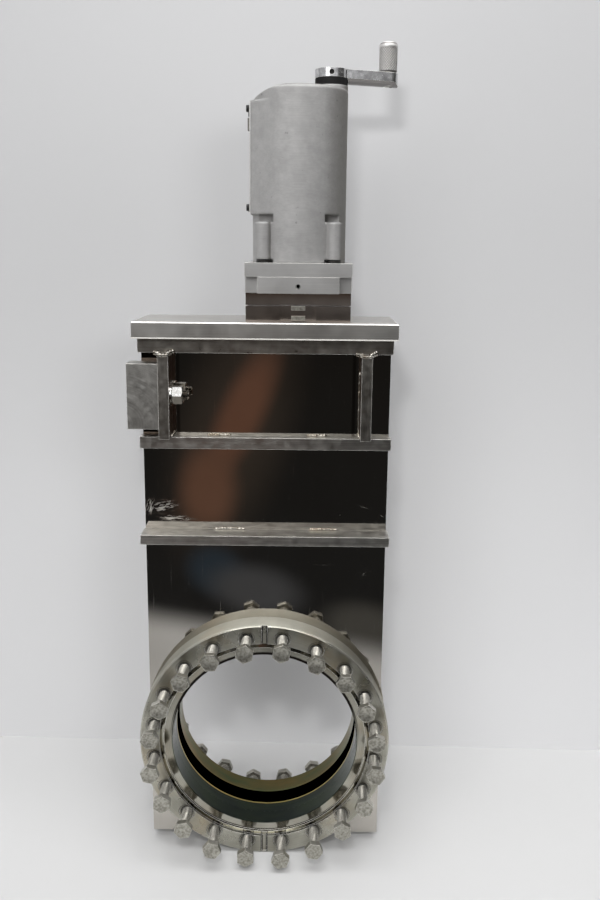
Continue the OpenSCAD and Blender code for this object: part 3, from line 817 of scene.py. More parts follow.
@dataclass(frozen=True)
class BoltSteel(DullFaces):
    """The flange bolts' steel, darker towards the bottom of the thread, with a painted highlight on faces
    that look up.

    Attributes:
        count: Number of bolts in a flange.
        circle: Radius of the bolt circle.
        clean: Distance from a bolt's axis beyond which it keeps its own tone.
        dirty: Distance at which it is darkest.
        dirt: Colour at the bottom of the thread.
        end_face: Least cosine between the port's axis and the normal of a head's end face, which keeps its
            own tone.
    """

    count: int = 20
    circle: float = 90.5
    clean: float = 3.95
    dirty: float = 3.4
    dirt: str = "#4d4942"
    end_face: float = 0.95

    def coats(self, on: Canvas) -> list[Coat]:
        """The bolts' painted highlight on faces that look up, and a darker tone by the distance from their
        axis, but not on the heads' faces.

        Args:
            on: The material's canvas.

        Returns:
            The coats.
        """
        away = on.distance_from_bolt(self.count, self.circle)
        sunk = on.add("MapRange", (away, self.clean * MM, self.dirty * MM))
        ahead = on.add("Math", (on.add("SeparateXYZ", (on.normal,), "Y"),), operation="ABSOLUTE")
        side = on.add("Math", (ahead, self.end_face), operation="LESS_THAN")
        return super().coats(on) + [(on.add("Math", (sunk, side), operation="MULTIPLY"), self.dirt)]


@dataclass(frozen=True)
class FlyCut(Metal):
    """Metal that a fly cutter has left curved marks on, with a few lighter smears along them.

    Attributes:
        centre: Centre of the curves.
        smear: Colour of the smears.
        smear_patch: Size of the patches that they lie in.
        smear_share: How strong they get.
        broad: Spacing of the broad marks that they follow.
    """

    centre: Point = (-108.0, 0.0, 262.0)
    smear: str = "#efeeea"
    smear_patch: float = 14.0
    smear_share: float = 0.55
    broad: float = 5.0

    def marks(self, on: Canvas) -> Socket:
        """The cutter's marks, from 0 to 1: noise over the distance from the curves' centre."""
        return on.strokes(on.distance(self.centre), self.pitch, 4.0)

    def coats(self, on: Canvas) -> list[Coat]:
        """Smears where broad marks and drifting patches meet.

        Args:
            on: The material's canvas.

        Returns:
            The coat.
        """
        broad = on.add("MapRange", (on.strokes(on.distance(self.centre), self.broad, 1.0), 0.5, 0.62))
        patch = on.drift(self.smear_patch, 0.0, self.smear_share, (0.48, 0.62), 2.0)
        return [(on.add("Math", (broad, patch), operation="MULTIPLY"), self.smear)]


@dataclass(frozen=True)
class Pierced(Metal):
    """Metal with one small blind hole in its front, painted black as shade because no light reaches it.

    Attributes:
        hole: The hole's centre.
        hole_r: Its radius.
        inside: Colour of the painted shade inside the hole.
    """

    hole: Point = (24.2, 0.0, 365.8)
    hole_r: float = 1.8
    inside: str = "#0a0a0a"

    def coats(self, on: Canvas) -> list[Coat]:
        """Painted shade: black within the hole's radius of its axis."""
        within = on.add("Math", (on.distance(self.hole), self.hole_r * MM), operation="LESS_THAN")
        return [(within, self.inside)]


@dataclass(frozen=True)
class Knurled(Metal):
    """Knurled metal, darker towards the bottom of the knurl.

    Attributes:
        axis: A point on the knob's axis.
        clean: Distance from the axis beyond which it keeps its own tone.
        dirty: Distance at which it is darkest.
        dirt: Colour at the bottom of the knurl.
        top: Upward parts of the normal where the rounded top keeps its own tone and where the darker tone is
            full.
    """

    axis: Point = (89.1, -20.85, 0.0)
    clean: float = 6.85
    dirty: float = 6.35
    dirt: str = "#7f7c79"
    top: tuple[float, float] = (0.75, 0.6)

    def coats(self, on: Canvas) -> list[Coat]:
        """A darker tone by the distance from the axis, but not on the rounded top.

        Args:
            on: The material's canvas.

        Returns:
            The coat.
        """
        away = on.distance(self.axis, (1.0, 1.0, 0.0))
        sunk = on.add("MapRange", (away, self.clean * MM, self.dirty * MM))
        side = on.add("MapRange", (on.add("SeparateXYZ", (on.normal,), "Z"), *self.top))
        return [(on.add("Math", (sunk, side), operation="MULTIPLY"), self.dirt)]


@dataclass(frozen=True)
class BrownedSteel(Metal):
    """Lapped steel that darkens towards a height: painted shadow under the base plate.

    Attributes:
        rise: Heights between which it darkens.
        brown: Colour of the painted shadow above them.
    """

    rise: tuple[float, float] = (353.0, 361.0)
    brown: str = "#6b5648"

    def coats(self, on: Canvas) -> list[Coat]:
        """Painted shadow that grows upwards, under the base plate."""
        return [(on.add("MapRange", (on.parts[2], *(height * MM for height in self.rise))), self.brown)]


@dataclass(frozen=True)
class CastAluminium(Metal):
    """Sand-cast aluminium, blasted: an even pale grey with fine grain, small pits and stains, and painted
    shade on its faces to the right and on top.

    Attributes:
        stain: Colour of the stains.
        stain_size: Their size.
        stain_share: How strong they get.
        grime: Colour of the painted shade on the faces to the right and on top.
    """

    stain: str = "#6f706e"
    stain_size: float = 5.0
    stain_share: float = 0.7
    grime: str = "#86847f"

    def coats(self, on: Canvas) -> list[Coat]:
        """Painted shade, more of it the more a face looks right or up, and a few small dark stains.

        Args:
            on: The material's canvas.

        Returns:
            The coats.
        """
        # Painted shade: the faces that look right or up are darkened
        right, _, up = on.add("SeparateXYZ", (on.normal,)).node.outputs
        way = on.add("Math", (right, up), operation="MAXIMUM")
        return [(on.add("MapRange", (way, 0.5, 1.0)), self.grime),
                (on.drift(self.stain_size, 0.0, self.stain_share, (0.68, 0.78)), self.stain)]


@dataclass(frozen=True)
class Dull(Finish):
    """A plastic, or steel under a black oxide: it is coloured all through and only its skin shines.

    Attributes:
        light: Colour of its worn places.
        dark: Colour of the rest.
        roughness: How much it scatters a reflection.
        grain: Size of its texture.
        depth: Depth of its texture.
        spread: How far the roughness wanders.
        patch: Size of the worn places.
        sheen: Strength of the skin's reflection.
    """

    light: str
    dark: str
    roughness: float
    grain: float = 0.8
    depth: float = 0.02
    spread: float = 0.08
    patch: float = 4.0
    sheen: float = 0.3

    def surface(self, on: Canvas) -> Socket:
        """Two close tones in fine grain, with a slight texture.

        Args:
            on: The material's canvas.

        Returns:
            The shader.
        """
        worn = on.drift(self.patch, 0.0, 1.0, (0.45, 0.75))
        tone = on.add("Mix", (worn, self.dark, self.light), data_type="RGBA")
        rough = on.drift(self.patch * 0.75, self.roughness - self.spread, self.roughness + self.spread)
        bump = on.add("Bump", {"Height": on.drift(self.grain, 0.0, 1.0), "Distance": self.depth * MM,
                               "Strength": 1.0})
        return on.add("BsdfPrincipled", {"Base Color": tone, "Roughness": rough, "Normal": bump,
                                         "Specular IOR Level": self.sheen})


# ---- the valve's finishes ----------------------------------------------------------------

# Real turned, ground and brushed marks are 0.05 to 0.2 mm apart, too fine to show in the render,
# so the pitches below are drawn several times as coarse, at 0.3 to 1.1 mm

# Bright-rolled stainless sheet: almost a clean mirror, slightly wavy, with handling scuffs
MIRROR_STEEL = MirrorSheet(
    "bright_rolled_stainless", "#c9c5be", "#bfbab2", 0.05, cloud=60.0,
    marks_left=(
        Mark(-80.0, 193.0, 38.0, 19.0, 6.0, 2.2, (7.0, 1.6)),
        Mark(-91.0, 193.0, 24.0, 16.0, 70.0, 2.2, (8.0, 1.3)),
        Mark(-72.0, 184.0, 46.0, 9.0, -4.0, 2.2, (12.0, 1.5)),
        Mark(78.0, 194.0, 26.0, 3.2, -20.0, 1.0, (14.0, 1.2)),
        Mark(92.0, 187.0, 12.0, 3.0, -38.0, 1.0, (10.0, 1.2)),
        Mark(47.0, 146.0, 60.0, 1.6, 0.0, 0.6, (30.0, 1.2)),
        Mark(79.0, 139.5, 20.0, 14.0, 30.0, 0.6, (5.0, 1.2)),
        Mark(58.7, 187.6, 7.0, 2.0, 10.0, 0.8, (4.0, 1.2)),
    ))
# The ribs' hot-rolled flat stock: pickled, so satin and cloudy
RIB_STEEL = Metal("pickled_stainless_bar", "#ece9e3", "#d8d5ce", 0.36, 0.08, 9.0, Lay.ALONG_X, 0.9,
                  line_tone=0.4)
# The uprights' stock: darker, with a painted brown reflection on the sides that face outwards
UPRIGHT_STEEL = DullFaces("pickled_stainless_upright", "#aeaaa3", "#8b8780", 0.38, 0.08, 8.0, Lay.ALONG_Z,
                          0.9, line_tone=0.22, toward=(-1.0, 0.0, 0.0), mirrored=True, dull="#5f5045")
# Turned stainless: fine rings that draw a highlight out into rays; green heat tints in the bore,
# and olive ones behind the gate
FLANGE_STEEL = DrilledFlange("turned_stainless", "#c6c4b8", "#a9a79b", 0.3, 0.06, 26.0, Lay.ROUND_PORT, 0.8,
                             line_tone=0.3, anisotropy=0.7, edge=0.4)
# The seat in the bore: brown from the heat, and polished
SEAT_STEEL = SeatRing("heat_tinted_seat", "#2a231b", "#1f1a15", 0.16, 0.04, 12.0, Lay.ROUND_PORT, 0.4, 0.002,
                      0.08, 0.3, edge=0.0)
# Ground stainless: straight fine scratches from left to right, an even grey, with a painted highlight along
# the lower edge
GROUND_STEEL = LippedPlate("ground_stainless", "#d9d7d2", "#cac7c2", 0.36, 0.05, 30.0, Lay.ALONG_X, 0.5,
                           line_tone=0.2, edge=0.28, edge_tone="#d2d0ca")
# Brushed stainless: coarser lines and more cloud than the ground plate's
TOP_FLANGE_STEEL = Metal("brushed_stainless", "#bfbab2", "#98928a", 0.34, 0.08, 12.0, Lay.ALONG_X, 0.7,
                         0.005, 0.28)
# Fly-cut mild steel of the stop block: dull, with curved marks and smears
BLOCK_STEEL = FlyCut("fly_cut_steel", "#c3c1bc", "#a9a7a2", 0.46, 0.06, 6.0, pitch=1.1, depth=0.006,
                     line_tone=0.35)
# Cold-headed stainless screws: slightly rough and handled, brighter on the heads' front faces, with a painted
# highlight on the faces that look up
BOLT_STEEL = BoltSteel("cold_headed_stainless", "#bdbbb1", "#88857c", 0.32, 0.05, 1.8, pitch=0.9,
                       depth=0.0008, line_tone=0.1, edge=0.3, edge_tone="#f4f1e8", metallic=0.86,
                       toward=(0.0, -0.1, 0.99), within=0.5, dull="#b9b6ac")
# The plated nut and washer: smooth and bright, with painted shade on the faces that look down to the front
NUT_STEEL = DullFaces("plated_steel", "#fbfaf7", "#f0eee9", 0.2, 0.04, 3.0, pitch=0.8, depth=0.0003,
                      line_tone=0.05, edge=0.0, toward=(0.0, -0.866, -0.5), within=0.9, dull="#77736b")
# The block's bolt: dark with thread oil
OILED_STEEL = Metal("oiled_steel", "#97928a", "#65605a", 0.26, 0.06, 2.0, pitch=0.9, depth=0.0008,
                    line_tone=0.1, edge=0.0)
# The bonnet's metal gasket: a thin pale line
GASKET_METAL = Metal("gasket_metal", "#f2efe6", "#dedacd", 0.34, 0.05, 10.0, Lay.ALONG_X, 0.4, 0.003, 0.1)
# Fused weld metal: bright ripples with straw and brown at their edges
WELD_STEEL = TurnedSteel("weld_metal", "#dedbd3", "#8f867a", 0.2, 0.08, 2.2, line_tone=0.2, edge=0.0,
                         straw="#a8906c")
# Lapped steel of the neck, with painted shadow under the base plate
NECK_STEEL = BrownedSteel("lapped_steel", "#c5b8ae", "#b0a399", 0.14, 0.04, 20.0, Lay.ALONG_X, depth=0.001,
                          line_tone=0.1, edge=0.0)
# Milled aluminium: satin, with straight cutter lines
MILLED_ALUMINIUM = Pierced("milled_aluminium", "#cfcecc", "#c2c1bf", 0.42, 0.05, 26.0, Lay.ALONG_X, 0.7,
                           line_tone=0.1, edge=0.3)
# Sand-cast aluminium, blasted: matt, with deep grain and soft edges, and painted shade to the right and on
# top
CAST_ALUMINIUM = CastAluminium("blasted_cast_aluminium", "#c3c2c1", "#bab9b8", 0.72, 0.04, 9.0,
                               Lay.ALONG_X, 1.0, 0.03, 0.1, edge=2.4, edge_tone=None)
# Aluminium bar, brushed along the arm and buffed at its ends, with painted shade on the faces that look down
BRUSHED_ALUMINIUM = DullFaces("brushed_aluminium", "#f2f2f3", "#c0c0c1", 0.22, 0.06, 6.0, Lay.ALONG_X,
                              0.4, 0.003, 0.12, edge=0.3)
# Knurled aluminium: matt and pale, darker grey between the diamonds
KNURLED_ALUMINIUM = Knurled("knurled_aluminium", "#f6f5f3", "#e9e7e4", 0.5, 0.06, 3.0, pitch=0.3, depth=0.002,
                            line_tone=0.1, edge=0.0)
# Black oxide: dark brown-grey and a little shiny; moulded plastic: matt
BLACK_OXIDE = Dull("black_oxide_steel", "#343230", "#1a1918", 0.4, 0.5, 0.01)
BLACK_PLASTIC = Dull("black_moulded_plastic", "#0d0c0c", "#090808", 0.66)
GREY_PLASTIC = Dull("grey_moulded_plastic", "#66625c", "#55524d", 0.5)


# ---- shapes ----------------------------------------------------------------------------


@dataclass
class Shell:
    """A closed surface.

    Attributes:
        points: Its corners in millimetres, one row each.
        quads: Its four-sided faces.
        triangles: Its three-sided faces.
    """

    points: np.ndarray
    quads: np.ndarray
    triangles: np.ndarray

    @classmethod
    def over_rings(cls, rings: np.ndarray, start: Point | None = None, end: Point | None = None) -> "Shell":
        """Stretches a skin over a stack of closed rings.

        Corner (i, j) joins (i, j + 1), (i + 1, j + 1) and (i + 1, j), and the last column joins the
        first. With a start and an end, fans close the first and last ring on those points. Without
        them, the last ring joins the first one.

        Args:
            rings: Points as rings, columns and X, Y, Z; columns run anticlockwise seen from the end.
            start: The point that closes the first ring.
            end: The point that closes the last ring.

        Returns:
            The closed surface, with its faces outwards.
        """
        rows, columns = rings.shape[:2]
        index = np.arange(rows * columns).reshape(rows, columns)
        if start is None:
            index = np.vstack([index, index[:1]])
        turned = np.roll(index, -1, axis=1)
        quads = np.stack([index[:-1], turned[:-1], turned[1:], index[1:]], axis=-1).reshape(-1, 4)
        points = rings.reshape(-1, 3)
        triangles = np.empty((0, 3), dtype=int)
        if start is not None:
            points = np.vstack([points, start, end])
            first = np.full(columns, rows * columns)
            triangles = np.vstack([np.stack([first, turned[0], index[0]], axis=-1),
                                   np.stack([first + 1, index[-1], turned[-1]], axis=-1)])
        return cls(points, quads, triangles)

    def copies(self, turns: np.ndarray, shifts: np.ndarray | list[Point]) -> "Shell":
        """Copies the surface to many places.

        Args:
            turns: One rotation matrix for each copy.
            shifts: One shift for each copy, applied after the turn.

        Returns:
            All copies as one surface.
        """
        points = np.einsum("nij,pj->npi", turns, self.points) + np.asarray(shifts)[:, None, :]
        steps = (np.arange(len(turns)) * len(self.points))[:, None, None]
        return Shell(points.reshape(-1, 3), (self.quads[None] + steps).reshape(-1, 4),
                     (self.triangles[None] + steps).reshape(-1, 3))

    def __add__(self, other: "Shell") -> "Shell":
        """Puts two surfaces into one piece."""
        step = len(self.points)
        return Shell(np.vstack([self.points, other.points]), np.vstack([self.quads, other.quads + step]),
                     np.vstack([self.triangles, other.triangles + step]))

    def build(self, name: str, body: Body, finish: Finish, slot: str, replaces: str | None = None,
              crease: float = 32.0) -> bpy.types.Object:
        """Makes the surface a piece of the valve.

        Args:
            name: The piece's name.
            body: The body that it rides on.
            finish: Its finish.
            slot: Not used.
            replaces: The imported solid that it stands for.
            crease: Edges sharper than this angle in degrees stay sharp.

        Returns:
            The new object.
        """
        mesh = bpy.data.meshes.new(name)
        mesh.from_pydata((self.points * MM).tolist(), [], self.quads.tolist() + self.triangles.tolist())
        mesh.shade_smooth()
        mesh.set_sharp_from_angle(angle=math.radians(crease))
        mesh.materials.append(finish.material())
        piece = bpy.data.objects.new(name, mesh)
        bpy.context.scene.collection.objects.link(piece)
        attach(piece, body.value)
        if replaces:
            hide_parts(replaces)
        LOG.info("%s: %d faces", name, len(self.quads) + len(self.triangles))
        return piece


def ring_angles(columns: int) -> np.ndarray:
    """Evenly spaced angles once round, in radians."""
    return np.linspace(0, TURN, columns, endpoint=False)


def lathe(radii: np.ndarray | list, heights: np.ndarray | list, angles: np.ndarray) -> np.ndarray:
    """Carries a profile round the Z axis: x = r cos u, y = r sin u, z = h.

    Args:
        radii: Radius for each row, or for each row and column where it changes round the axis.
        heights: Height in the same form.
        angles: The columns' angles.

    Returns:
        Points as rows, columns and X, Y, Z.
    """
    r, z = (grid if grid.ndim == 2 else grid[:, None] for grid in (np.asarray(radii), np.asarray(heights)))
    r, z, u = np.broadcast_arrays(r, z, angles)
    return np.stack([r * np.cos(u), r * np.sin(u), z], axis=-1)


def hexagon_radius(across_flats: float, angles: np.ndarray) -> np.ndarray:
    """Radius of a hexagon: half its flats' distance over the cosine from the nearest flat's middle."""
    return across_flats / 2 / np.cos((angles + TURN / 12) % (TURN / 6) - TURN / 12)


def turn_about(axis: str, angles: np.ndarray | list) -> np.ndarray:
    """Rotation matrices about an axis: 1 along it, and cosines and sines across it.

    Args:
        axis: X, Y or Z.
        angles: One angle in radians for each matrix.

    Returns:
        The matrices, as one array.
    """
    c, s = np.cos(angles), np.sin(angles)
    o, i = np.zeros_like(c), np.ones_like(c)
    rows = {
        "X": [[i, o, o], [o, c, -s], [o, s, c]],
        "Y": [[c, o, s], [o, i, o], [-s, o, c]],
        "Z": [[c, -s, o], [s, c, o], [o, o, i]],
    }[axis]
    return np.moveaxis(np.array(rows), -1, 0)


@dataclass(frozen=True)
class Thread:
    """A metric screw thread along Z.

    Attributes:
        diameter: Its outer diameter.
        pitch: Distance between its turns.
        rows: Rows of points for each turn.
    """

    diameter: float = 8.0
    pitch: float = 1.25
    rows: int = 5

    def rings(self, low: float, high: float, angles: np.ndarray) -> np.ndarray:
        """The thread between two heights.

        The radius is the outer one less a depth of 0.55 pitches times a triangle wave of
        height / pitch - angle / full turn, which makes one ridge that climbs a pitch each turn.
        The wave is steepened and cut off, so the ridge has a flat crest and a flat root.

        Args:
            low: Its lower end.
            high: Its upper end.
            angles: The columns' angles.

        Returns:
            The rings of points.
        """
        heights = np.linspace(low, high, max(2, int((high - low) / self.pitch * self.rows) + 1))
        phase = (heights[:, None] / self.pitch - angles[None, :] / TURN) % 1
        depth = 0.55 * self.pitch * np.clip(1.3 * np.abs(2 * phase - 1) - 0.15, 0, 1)
        return lathe(self.diameter / 2 - depth, heights, angles)


@dataclass(frozen=True)
class HexScrew:
    """A fully threaded hexagon-head screw along Z, whose thread leaves a face at height 0.

    Attributes:
        thread: Its thread.
        across_flats: Width of the head across its flats.
        head: Height of the head.
        grip: Length of thread below the face.
        free: Length of thread above the face.
        columns: Points round it, a multiple of 6.
        cone: Slope of the chamfer on the head's corners, in degrees.
        crown: Radius of the head's flat end face, as a share of half its flats' distance.
        washer: Radius of its underside's flat ring, as such a share.
        hollow: Radii of the hollow's edge and floor in the end face, as shares of that face's.
        sunk: Depth of the hollow.
        point: Chamfer of the hidden end.
    """

    thread: Thread = Thread()
    across_flats: float = 13.0
    head: float = 5.3
    grip: float = 16.0
    free: float = 21.6
    columns: int = 24
    cone: float = 12.0
    crown: float = 0.97
    washer: float = 0.94
    hollow: tuple[float, float] = (0.9, 0.84)
    sunk: float = 0.12
    point: float = 0.8

    def shell(self) -> Shell:
        """The screw in one skin: a hidden plain end, the thread, and a head whose corners a cone takes off.

        Returns:
            The closed surface.
        """
        angles = ring_angles(self.columns)
        r, half = self.thread.diameter / 2, self.across_flats / 2
        corner = hexagon_radius(self.across_flats, angles)
        top, crown = self.free + self.head, half * self.crown
        edge, floor = (crown * share for share in self.hollow)
        level = np.full_like(corner, self.free)
        shoulder = top - (corner - crown) * math.tan(math.radians(self.cone))
        return Shell.over_rings(np.vstack([
            lathe([r - self.point, r - 0.1], [-self.grip, -self.grip + self.point], angles),
            self.thread.rings(-1.0, self.free - 0.2, angles),
            lathe([r, r, half * self.washer], [self.free - 0.1, self.free, self.free], angles),
            lathe(np.stack([corner * 0.99, corner, corner]),
                  np.stack([level, level + 0.2, shoulder]), angles),
            lathe([crown, edge, floor], [top, top, top - self.sunk], angles),
        ]), (0, 0, -self.grip), (0, 0, top - self.sunk))


@dataclass(frozen=True)
class SocketHead:
    """A round screw head along Z with a hexagon socket in its top.

    Attributes:
        diameter: Diameter of the head.
        height: Height of the head.
        socket: Width of the socket across its flats.
        depth: Depth of the socket.
        edge: Chamfer of the upper edge.
        knurl: Depth of the ridges round the head.
        columns: Points round it, a multiple of 6.
        lead: Depth of the socket's chamfer.
        wide: How much wider the socket is at its mouth, as a share.
    """

    diameter: float
    height: float
    socket: float
    depth: float
    edge: float = 0.3
    knurl: float = 0.0
    columns: int = 48
    lead: float = 0.15
    wide: float = 1.06

    def rings(self, low: float) -> np.ndarray:
        """The head from its underside, over its top, down to the socket's floor.

        Args:
            low: Height of its underside.

        Returns:
            The rings of points.
        """
        angles = ring_angles(self.columns)
        r, top = self.diameter / 2, low + self.height
        ridged = r - self.knurl * (np.arange(self.columns) % 2)
        hexagon = hexagon_radius(self.socket, angles)
        return np.vstack([
            lathe(np.stack([ridged, ridged]), [low, top - self.edge], angles),
            lathe([r - self.edge], [top], angles),
            lathe(np.stack([hexagon * self.wide, hexagon, hexagon]),
                  [top, top - self.lead, top - self.depth], angles),
        ])

    def shell(self) -> Shell:
        """The head by itself, standing on height 0."""
        return Shell.over_rings(self.rings(0.0), (0.0, 0.0, 0.0), (0.0, 0.0, self.height - self.depth))


# ---- sub-assemblies ----------------------------------------------------------------------


@dataclass
class FlatBody:
    """The flat welded body: two sheets, side bars and a bottom bar."""

    def dress(self) -> None:
        """Gives the sheets and bars their finish."""
        MIRROR_STEEL.dress("front_plate", "back_plate", "left_bar", "right_bar", "bottom_bar")


@dataclass
class Port:
    """The port: both flanges, the seat and the loosely screwed-in bolts.

    Attributes:
        bolt_count: Bolts in each flange.
        bolt_circle: Radius of the bolt circle.
        depth: Distance from the front face to the back face.
        screw: One bolt.
        spin: Degrees by which each bolt is turned further than the last.
        uneven: How far the bolts differ in how deep they are screwed in.
        step: Degrees of the sine that makes them differ, from one bolt to the next.
    """

    bolt_count: int = 20
    bolt_circle: float = 90.5
    depth: float = 70.0
    screw: HexScrew = field(default_factory=HexScrew)
    spin: float = 37.0
    uneven: float = 1.6
    step: float = 137.0

    def bolts(self, back: bool) -> Shell:
        """The bolts of one flange, leaned out of its face, spun, and turned round the port's axis.

        Args:
            back: Whether it is the back flange.

        Returns:
            All its bolts as one surface.
        """
        number = np.arange(self.bolt_count)
        way = (number + 0.5) * TURN / self.bolt_count
        side = -1 if back else 1
        lean = np.full_like(way, side * TURN / 4)
        spin = side * np.radians(self.spin * number)
        turns = turn_about("Y", way) @ turn_about("X", lean) @ turn_about("Z", spin)
        out = self.uneven * np.sin(np.radians(self.step * number))
        face = 0.0 if back else -self.depth
        shifts = np.stack([self.bolt_circle * np.sin(way), face - side * out,
                           self.bolt_circle * np.cos(way)], axis=-1)
        return self.screw.shell().copies(turns, shifts)

    def build(self) -> None:
        """Makes the bolts and dresses the port."""
        FLANGE_STEEL.dress("front_flange", "back_flange")
        SEAT_STEEL.dress("seat_ring")
        for side in ("front", "back"):
            self.bolts(side == "back").build(f"threaded_bolts_{side}", Body.VALVE, BOLT_STEEL, "bolt_steel",
                                             f"{side}_flange_bolts")


@dataclass(frozen=True)
class Bead:
    """One run of weld in a corner.

    Attributes:
        start: Its first end.
        end: Its other end.
        width: Its width.
        ripple: Distance between its ripples.
        seed: Makes its unevenness its own.
        swells: Its slow swellings: how many along it, and their share of its radius.
        ridge: Height of a ripple, as a share of its radius.
        lag: How far a ripple lags round the sides, in radians.
    """

    start: Point
    end: Point
    width: float = 2.6
    ripple: float = 1.1
    seed: int = 0
    swells: tuple[tuple[int, float], ...] = ((3, 0.16), (7, 0.1))
    ridge: float = 0.1
    lag: float = 0.9

    def shell(self, rows: int = 56, columns: int = 14) -> Shell:
        """A rippled rod with round ends.

        Along it, s runs from 0 to 1. The radius is half the width times the eighth-power
        half circle (1 - |2s - 1|^8)^(1/2), times 1 plus a small cosine of s over the ripple
        that lags round the sides, so the ripples look like a row of overlapping drops.

        Args:
            rows: Rings along it.
            columns: Points round it.

        Returns:
            The closed surface.
        """
        start, end = np.array(self.start), np.array(self.end)
        way = end - start
        length = float(np.linalg.norm(way))
        along = way / length
        side = np.cross(along, (0.0, 1.0, 0.0) if abs(along[1]) < 0.9 else (1.0, 0.0, 0.0))
        side /= np.linalg.norm(side)
        up = np.cross(along, side)
        s = np.linspace(0.004, 0.996, rows)[:, None]
        u = ring_angles(columns)[None, :]
        wave = np.random.default_rng(self.seed).uniform(0, TURN, 3)
        swollen = 1 + sum(share * np.sin(count * TURN * s + phase)
                          for (count, share), phase in zip(self.swells, wave))
        ripples = 1 + self.ridge * np.cos(TURN * s * length / self.ripple + self.lag * np.cos(u + wave[2]))
        r = self.width / 2 * np.sqrt(1 - np.abs(2 * s - 1) ** 8) * swollen * ripples
        rings = (start + s[..., None] * way + (r * np.cos(u))[..., None] * side
                 + (r * np.sin(u))[..., None] * up)
        return Shell.over_rings(rings, start, end)


@dataclass
class Ribs:
    """The ribs that stiffen the sheets, with their welds.

    Attributes:
        sheet_y: The front sheet's outer face.
        middle: The valve's middle plane from front to back.
        mid_top: Top of the middle rib.
        low_top: Top of the lower rib.
        mid_runs: The short welds on the middle rib, from left to right.
        low_runs: Those on the lower rib.
        flange_bottom: Underside of the top flange.
        flange_front: Front of the top flange.
        upright_x: Centre of an upright from the middle.
        upright_t: Thickness of an upright.
        upright_out: How far an upright stands out from the sheet.
        sunk: How far a weld's axis lies inside the sheet or the flange.
        over: How far it lies over a rib's top.
    """

    sheet_y: float = -51.3
    middle: float = -35.0
    mid_top: float = 250.9
    low_top: float = 175.0
    mid_runs: tuple[tuple[float, float], ...] = ((-45.3, -27.0), (31.6, 47.4))
    low_runs: tuple[tuple[float, float], ...] = ((-41.0, -16.4), (34.2, 56.5))
    flange_bottom: float = 315.6
    flange_front: float = -61.3
    upright_x: float = 76.0
    upright_t: float = 8.0
    upright_out: float = 19.5
    sunk: float = 0.4
    over: float = 0.3

    def beads(self) -> list[Bead]:
        """The front half's welds: short runs on the ribs' tops, and ends and feet of the uprights.

        Returns:
            The runs of weld.
        """
        y, half = self.sheet_y - self.sunk, self.upright_t / 2
        front, end = self.sheet_y - self.upright_out, self.flange_bottom - self.sunk
        foot, low = self.mid_top + self.over, self.low_top + self.over
        runs = [(run, foot) for run in self.mid_runs] + [(run, low) for run in self.low_runs]
        beads = [Bead((x0, y, z), (x1, y, z), seed=i) for i, ((x0, x1), z) in enumerate(runs)]
        for side in (-1, 1):
            for edge in (-1, 1):
                x = side * self.upright_x + edge * half
                seed = 10 + 4 * side + edge
                # The foot's weld starts further back, where the middle rib's top ends
                beads += [Bead((x, front + 1.2, end), (x, y, end), 2.4, 1.2, seed),
                          Bead((x, front + 10.2, foot), (x, y, foot), 2.2, 1.1, seed + 20)]
            beads += self.crown_beads(side * self.upright_x, 50 + side)
        inner = self.upright_x - half - 0.2
        beads.append(Bead((inner, y, self.mid_top + 3), (inner, y, self.flange_bottom - 14), 1.9, 3.5, 61))
        return beads

    def crown_beads(self, x: float, seed: int) -> list[Bead]:
        """The blobs on an upright's top end: one across its front, and a V from it to the top flange's front.

        Args:
            x: The upright's centre.
            seed: The first blob's seed.

        Returns:
            The blobs.
        """
        z, out, front = self.flange_bottom, self.sheet_y - self.upright_out, self.flange_front - 1.0
        # Distances from the upright's centre: the front blob's end, and the V's inner and outer ends
        across, inner, tip = self.upright_t / 2, 2.0, 7.4
        return [Bead((x - across, out + 0.4, z - 0.9), (x + across, out + 0.4, z - 0.9), 3.0, 2.2, seed),
                Bead((x - tip, front, z + 0.6), (x - inner, out + 1.8, z - 0.2), 3.4, 2.4, seed + 3),
                Bead((x + inner, out + 1.8, z - 0.2), (x + tip, front, z + 1.6), 3.4, 2.4, seed + 6)]

    def build(self) -> None:
        """Dresses the ribs and lays the welds on both halves."""
        RIB_STEEL.dress("middle_rib_front", "middle_rib_back", "lower_rib_front", "lower_rib_back")
        UPRIGHT_STEEL.dress("upright_ribs_front", "upright_ribs_back")
        front = reduce(Shell.__add__, (bead.shell() for bead in self.beads()))
        # The back half is the front one turned half round the valve's middle plane
        back = front.copies(turn_about("Z", [TURN / 2]), [(0.0, 2 * self.middle, 0.0)])
        front.build("weld_beads_front", Body.VALVE, WELD_STEEL, "rib_steel")
        back.build("weld_beads_back", Body.VALVE, WELD_STEEL, "rib_steel")


@dataclass
class TopFlange:
    """The top flange, its gasket and the bonnet plate."""

    def dress(self) -> None:
        """Gives the three plates their finish."""
        TOP_FLANGE_STEEL.dress("top_flange")
        GASKET_METAL.dress("bonnet_gasket")
        GROUND_STEEL.dress("bonnet_plate")


